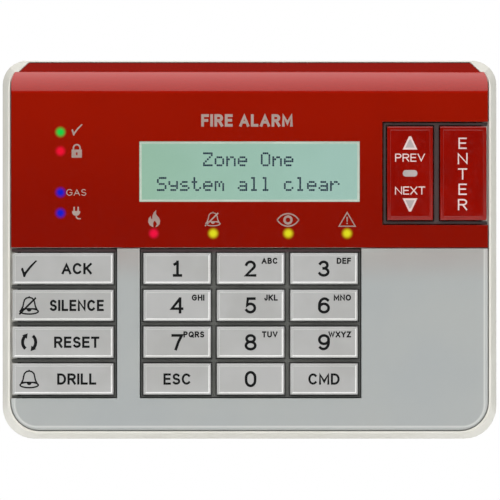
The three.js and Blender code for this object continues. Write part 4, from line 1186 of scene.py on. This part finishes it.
# A lighter copy of the red, for the painted highlight on the lower and right border.
key_red_painted_highlight = moulded_plastic(
    "key_red_painted_highlight", linear(140, 18, 6), linear(130, 14, 5), 0.12, 0.0004, 0.000002
)
INK_COLOURS = {
    "white_ink": ((218, 196, 192), (206, 182, 178)),
    "silver_ink": ((158, 138, 130), (142, 118, 110)),
    "arrow_ink": ((170, 160, 158), (158, 148, 146)),
}
white_ink, silver_ink, arrow_ink = (
    moulded_plastic(name, linear(*light), linear(*dark), 0.35, 0.0002, 0.00001)
    for name, (light, dark) in INK_COLOURS.items()
)
TALL_BORDER = 0.0006
for node in ("key_previous_next", "key_enter"):
    cap = shaped_key(node, node + "_cap", key_red, key_red_painted_highlight, TALL_BORDER)
MILLIMETRE = 0.001  # the signs below are drawn in millimetres
arrow_low, arrow_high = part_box("key_previous_next")
enter_low, enter_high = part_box("key_enter")
tall_field = arrow_low.y + FIELD_DEPTH
arrow_x = (arrow_low.x + arrow_high.x) / 2
tall_z = (enter_low.z + enter_high.z) / 2
TRIANGLE = [(-2.35, -2.1), (2.35, -2.1), (0.35, 2.1), (-0.35, 2.1)]
for name, turn, z in (("up", 1, 0.0097), ("down", -1, -0.0101)):
    corners = [(px, pz * turn) for px, pz in TRIANGLE]
    inner = [(px * 0.62, pz * 0.62 - 0.2 * turn) for px, pz in corners]
    for part, ink, shape in (
        ("edge", white_ink, [corners, inner]),
        ("fill", arrow_ink, [inner]),
    ):
        mark = printed_sign(
            f"arrow_{name}_{part}",
            [shape],
            arrow_x,
            tall_z + z,
            MILLIMETRE,
            tall_field,
            "key_previous_next",
            ink,
        )
dash_ends = arc(1.35, 0, 1.0, 1.05, -90, 90, 8) + arc(-1.35, 0, 1.0, 1.05, 90, 270, 8)
mark = printed_sign(
    "arrow_dash",
    [[dash_ends]],
    arrow_x,
    tall_z,
    MILLIMETRE,
    tall_field,
    "key_previous_next",
    arrow_ink,
)
ARROW_CAP = 0.0026
for words, z in (("PREV", 0.0050), ("NEXT", -0.0055)):
    word = printed_words(
        f"arrow_word_{words.lower()}",
        words,
        arrow_x,
        tall_z + z,
        ARROW_CAP,
        tall_field,
        "key_previous_next",
        white_ink,
        weight=0.13,
        space=0.13,
    )
ENTER_CAP = 0.0036
ENTER_STEP = 0.0049
ENTER_X = 0.0681
for place_in_word, letter in enumerate("ENTER"):
    word = printed_words(
        f"enter_letter_{place_in_word + 1}",
        letter,
        ENTER_X,
        tall_z + (2 - place_in_word) * ENTER_STEP - 0.0002,
        ENTER_CAP,
        tall_field,
        "key_enter",
        white_ink,
        weight=0.125,
    )

# ---- Red fascia ----------------------------------------------------------------------------
# A glossy red cover over the upper half that rolls over the top edge. The lamps glow through
# it as soft round spots. Its red is painted darker towards the bottom and on the rear strip of
# the top, and lighter on the rolled edge and the top: painted shade and painted light.
RED = linear(141, 18, 1)
# Lower down, the red is painted darker: painted shade.
RED_LOW_PAINTED_SHADE = linear(124, 12, 1)
RED_TOP_PAINTED_LIGHT = linear(153, 17, 2)  # the edge that rolls over and the top, painted lighter: painted light from above
ROLL_START = 0.05
REAR_SHADE_START = -0.0058  # the last strip of the top, where it lies in the housing's groove, is painted dark: painted shade
REAR_SHADE_END = -0.0046
SPOT = 0.00158  # radius of a lamp's glow
SPOT_SOFT = 0.0011


def fascia_gloss(tree, shader, place, smooth, rough):
    """Polish that varies a little over the face, and the faint ripple of a moulded surface."""
    ripple = noise(tree, place, 700.0)
    tree.links.new(spread(tree, ripple, 0.35, 0.7, smooth, rough), shader.inputs["Roughness"])
    add_bump(tree, shader, ripple, 0.05, 0.00001)


red_gloss, tree, shader, place = new_material("red_gloss")
axes = add_node(tree, "SeparateXYZ", {"Vector": place}).outputs
# The red is painted darker towards the bottom: painted shade.
low_shade_share = spread(tree, axes["Z"], 0.004, ROLL_START)
slow = noise(tree, place, 40.0)
toned = blend_colours(tree, low_shade_share, RED_LOW_PAINTED_SHADE, RED)
toned = blend_colours(tree, spread(tree, slow, 0.3, 0.7, 0.0, 0.25), toned, linear(130, 15, 1))
# The edge that rolls over and the top are painted lighter: painted light.
rolled = spread(tree, axes["Z"], ROLL_START - 0.0003, ROLL_START + 0.0003)
toned = blend_colours(tree, rolled, toned, RED_TOP_PAINTED_LIGHT)
# The rear strip of the top is painted dark: painted shade.
rear_edge = spread(tree, axes["Y"], REAR_SHADE_START, REAR_SHADE_END)
toned = blend_colours(tree, rear_edge, toned, linear(38, 8, 6))
glow = None
flat_place = add_node(tree, "CombineXYZ", {"X": axes["X"], "Z": axes["Z"]}).outputs[0]
for node, colour in LAMP_COLOURS.items():
    low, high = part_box(node)
    centre = ((low.x + high.x) / 2, 0, (low.z + high.z) / 2)
    away = add_node(
        tree, "VectorMath", {0: flat_place, 1: centre}, operation="DISTANCE"
    ).outputs["Value"]
    share = spread(tree, away, SPOT - SPOT_SOFT, SPOT + SPOT_SOFT / 2, 1.0, 0.0)
    toned = blend_colours(tree, share, toned, (0.002, 0.002, 0.002, 1))
    glow = blend_colours(tree, share, glow or (0, 0, 0, 1), colour)
tree.links.new(toned, shader.inputs["Base Color"])
tree.links.new(glow, shader.inputs["Emission Color"])
shader.inputs["Emission Strength"].default_value = 1.0
fascia_gloss(tree, shader, place, 0.06, 0.1)
upper = merged_copy("upper_fascia", "red_fascia")
FACE_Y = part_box("upper_fascia")[0].y
FACE_REACH = 2e-6


def on_face(middle, start, end):
    return abs(start.y - FACE_Y) < FACE_REACH and abs(end.y - FACE_Y) < FACE_REACH


round_edges(upper, on_face, 0.00018, 3)
finish_shell(upper, red_gloss, 0.0001, 2, 40)
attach(upper, "front")
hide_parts("upper_fascia")

# ---- Printing on the red fascia ------------------------------------------------------------
# A plain heading over the display and a small sign beside each lamp, all in silver ink on the
# outside of the cover. The signs are drawn in millimetres about their middles.
HEADING_CAP = 0.004
HEADING_PLACE = (-0.0008, 0.0412)
GAS_CAP = 0.0021
GAS_PLACE = (-0.05535, 0.0182)
word = printed_words(
    "heading",
    "FIRE ALARM",
    *HEADING_PLACE,
    HEADING_CAP,
    FACE_Y,
    "front",
    silver_ink,
    weight=0.22,
    space=0.13,
    stretch=0.78,
)
word = printed_words(
    "gas_word", "GAS", *GAS_PLACE, GAS_CAP, FACE_Y, "front", silver_ink, weight=0.12
)
PADLOCK = [
    [
        [(-1.65, -2.1), (1.65, -2.1), (1.65, 0.5), (-1.65, 0.5)],
        [(-0.25, -1.3), (0.25, -1.3), (0.25, -0.4), (-0.25, -0.4)],
    ],
    pen([(-1.05, 0.4), *arc(0, 1.0, 1.05, 1.05, 180, 0), (1.05, 0.4)], 0.5),
]
PLUG = [
    [[(-1.3, 0.55), (1.3, 0.55), *arc(0, 0.3, 1.3, 1.3, 0, -180)]],
    pen([(-0.65, 0.5), (-0.65, 1.9)], 0.45),
    pen([(0.65, 0.5), (0.65, 1.9)], 0.45),
    pen([(0, -0.9), (0.1, -1.5), (0.6, -1.9), (1.5, -1.9)], 0.4),
]
FLAME = [
    [
        [(-0.2, -2.7), (-1.3, -2.2), (-1.9, -1.1), (-1.7, 0.1), (-1.1, 0.9), (-1.0, 0.1), (-0.6, -0.2)]
        + [(-0.5, 1.0), (-0.1, 2.0), (0.7, 2.8), (0.6, 1.6), (1.0, 0.9), (1.6, 0.3), (1.95, -0.6)]
        + [(1.8, -1.7), (1.2, -2.4), (0.4, -2.7), (0.9, -1.8), (0.6, -1.0), (0.1, -0.6), (-0.3, -1.4)]
    ]
]
EYE = [
    pen(arc(0, -1.9, 3.9, 3.9, 28, 152, 14) + arc(0, 1.9, 3.9, 3.9, 208, 332, 14), 0.42, True),
    [arc(0, 0, 1.5, 1.5, 0, 345, 23), arc(0, 0, 0.75, 0.75, 0, 345, 23)],
]
WARNING = [
    pen([(-2.6, -2.0), (2.6, -2.0), (0, 2.4)], 0.36, True),
    [[(-0.22, 1.0), (0.22, 1.0), (0.16, -0.6), (-0.16, -0.6)]],
    [arc(0, -1.1, 0.26, 0.26, 0, 330, 11)],
]


def reduced(shapes, steps):
    """A sign of the keys drawn smaller: steps is how many of its steps make a millimetre."""
    return [[[(px / steps, pz / steps) for px, pz in loop] for loop in part] for part in shapes]


FASCIA_SIGNS = {
    "tick_sign": (reduced(TICK, 46), -0.0551, 0.0382),
    "padlock_sign": (PADLOCK, -0.0552, 0.0314),
    "plug_sign": (PLUG, -0.0554, 0.0117),
    "flame_sign": (FLAME, -0.0305, 0.0098),
    "silenced_sign": (reduced(bell(12) + SLASH, 40), -0.0117, 0.0097),
    "eye_sign": (EYE, 0.0123, 0.0094),
    "warning_sign": (WARNING, 0.0312, 0.0094),
}
for name, (shapes, x, z) in FASCIA_SIGNS.items():
    mark = printed_sign(name, shapes, x, z, MILLIMETRE, FACE_Y, "front", silver_ink)

# ---- Grey fascia ---------------------------------------------------------------------------
# The lower cover, moulded in pale grey and polished, with a softly rounded edge and two
# openings for the keys. It is glued to the housing below the red one. Its top, next to the red
# cover, is painted darker and redder: painted shade and painted reflection of the red.
GREY = linear(159, 163, 163)
# The grey's top next to the red cover: painted shade and painted red reflection.
GREY_PAINTED_RED_REFLECTION = linear(156, 151, 148)
CORNER = 0.0085  # radius of its outer corners
LINE_RISE = (0.0019, 0.0014)  # the bright line comes up and fades over these, in from the edge
LINE_FALL = (0.0013, 0.0009)
grey_gloss, tree, shader, place = new_material("grey_gloss")
axes = add_node(tree, "SeparateXYZ", {"Vector": place}).outputs
slow = noise(tree, place, 35.0)
# Towards the top the grey is painted darker and redder: painted shade and painted red reflection.
toned = blend_colours(tree, spread(tree, axes["Z"], -0.012, -0.001), GREY, GREY_PAINTED_RED_REFLECTION)
toned = blend_colours(tree, spread(tree, slow, 0.3, 0.7, 0.0, 0.5), toned, linear(166, 168, 165))
# The edge starts to round over a little inside the outline, and catches the light there.
low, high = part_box("lower_fascia")
sideways = math_node(tree, "ABSOLUTE", axes["X"])
past_x = math_node(tree, "MAXIMUM", math_node(tree, "SUBTRACT", sideways, high.x - CORNER), 0.0)
past_z = math_node(tree, "MAXIMUM", math_node(tree, "SUBTRACT", low.z + CORNER, axes["Z"]), 0.0)
outwards = add_node(tree, "CombineXYZ", {"X": past_x, "Z": past_z}).outputs[0]
reached = add_node(tree, "VectorMath", {0: outwards}, operation="LENGTH").outputs["Value"]
line_start = spread(tree, reached, *(CORNER - inset for inset in LINE_RISE))
line_end = spread(tree, reached, *(CORNER - inset for inset in LINE_FALL), 0.4, 0.1)
lit_line = math_node(tree, "MULTIPLY", line_start, line_end)
toned = blend_colours(tree, lit_line, toned, linear(226, 226, 222))
tree.links.new(toned, shader.inputs["Base Color"])
fascia_gloss(tree, shader, place, 0.12, 0.2)
OUTER_X = 0.0725  # the outer edges are farther out and lower than these
OUTER_Z = -0.054
lower = merged_copy("lower_fascia", "grey_fascia")


def on_outer_edge(middle, start, end):
    return on_face(middle, start, end) and (abs(middle.x) > OUTER_X or middle.z < OUTER_Z)


round_edges(lower, on_outer_edge, 0.0009, 5)
finish_shell(lower, grey_gloss, 0.00015, 2, 40)
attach(lower, "front")
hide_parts("lower_fascia")
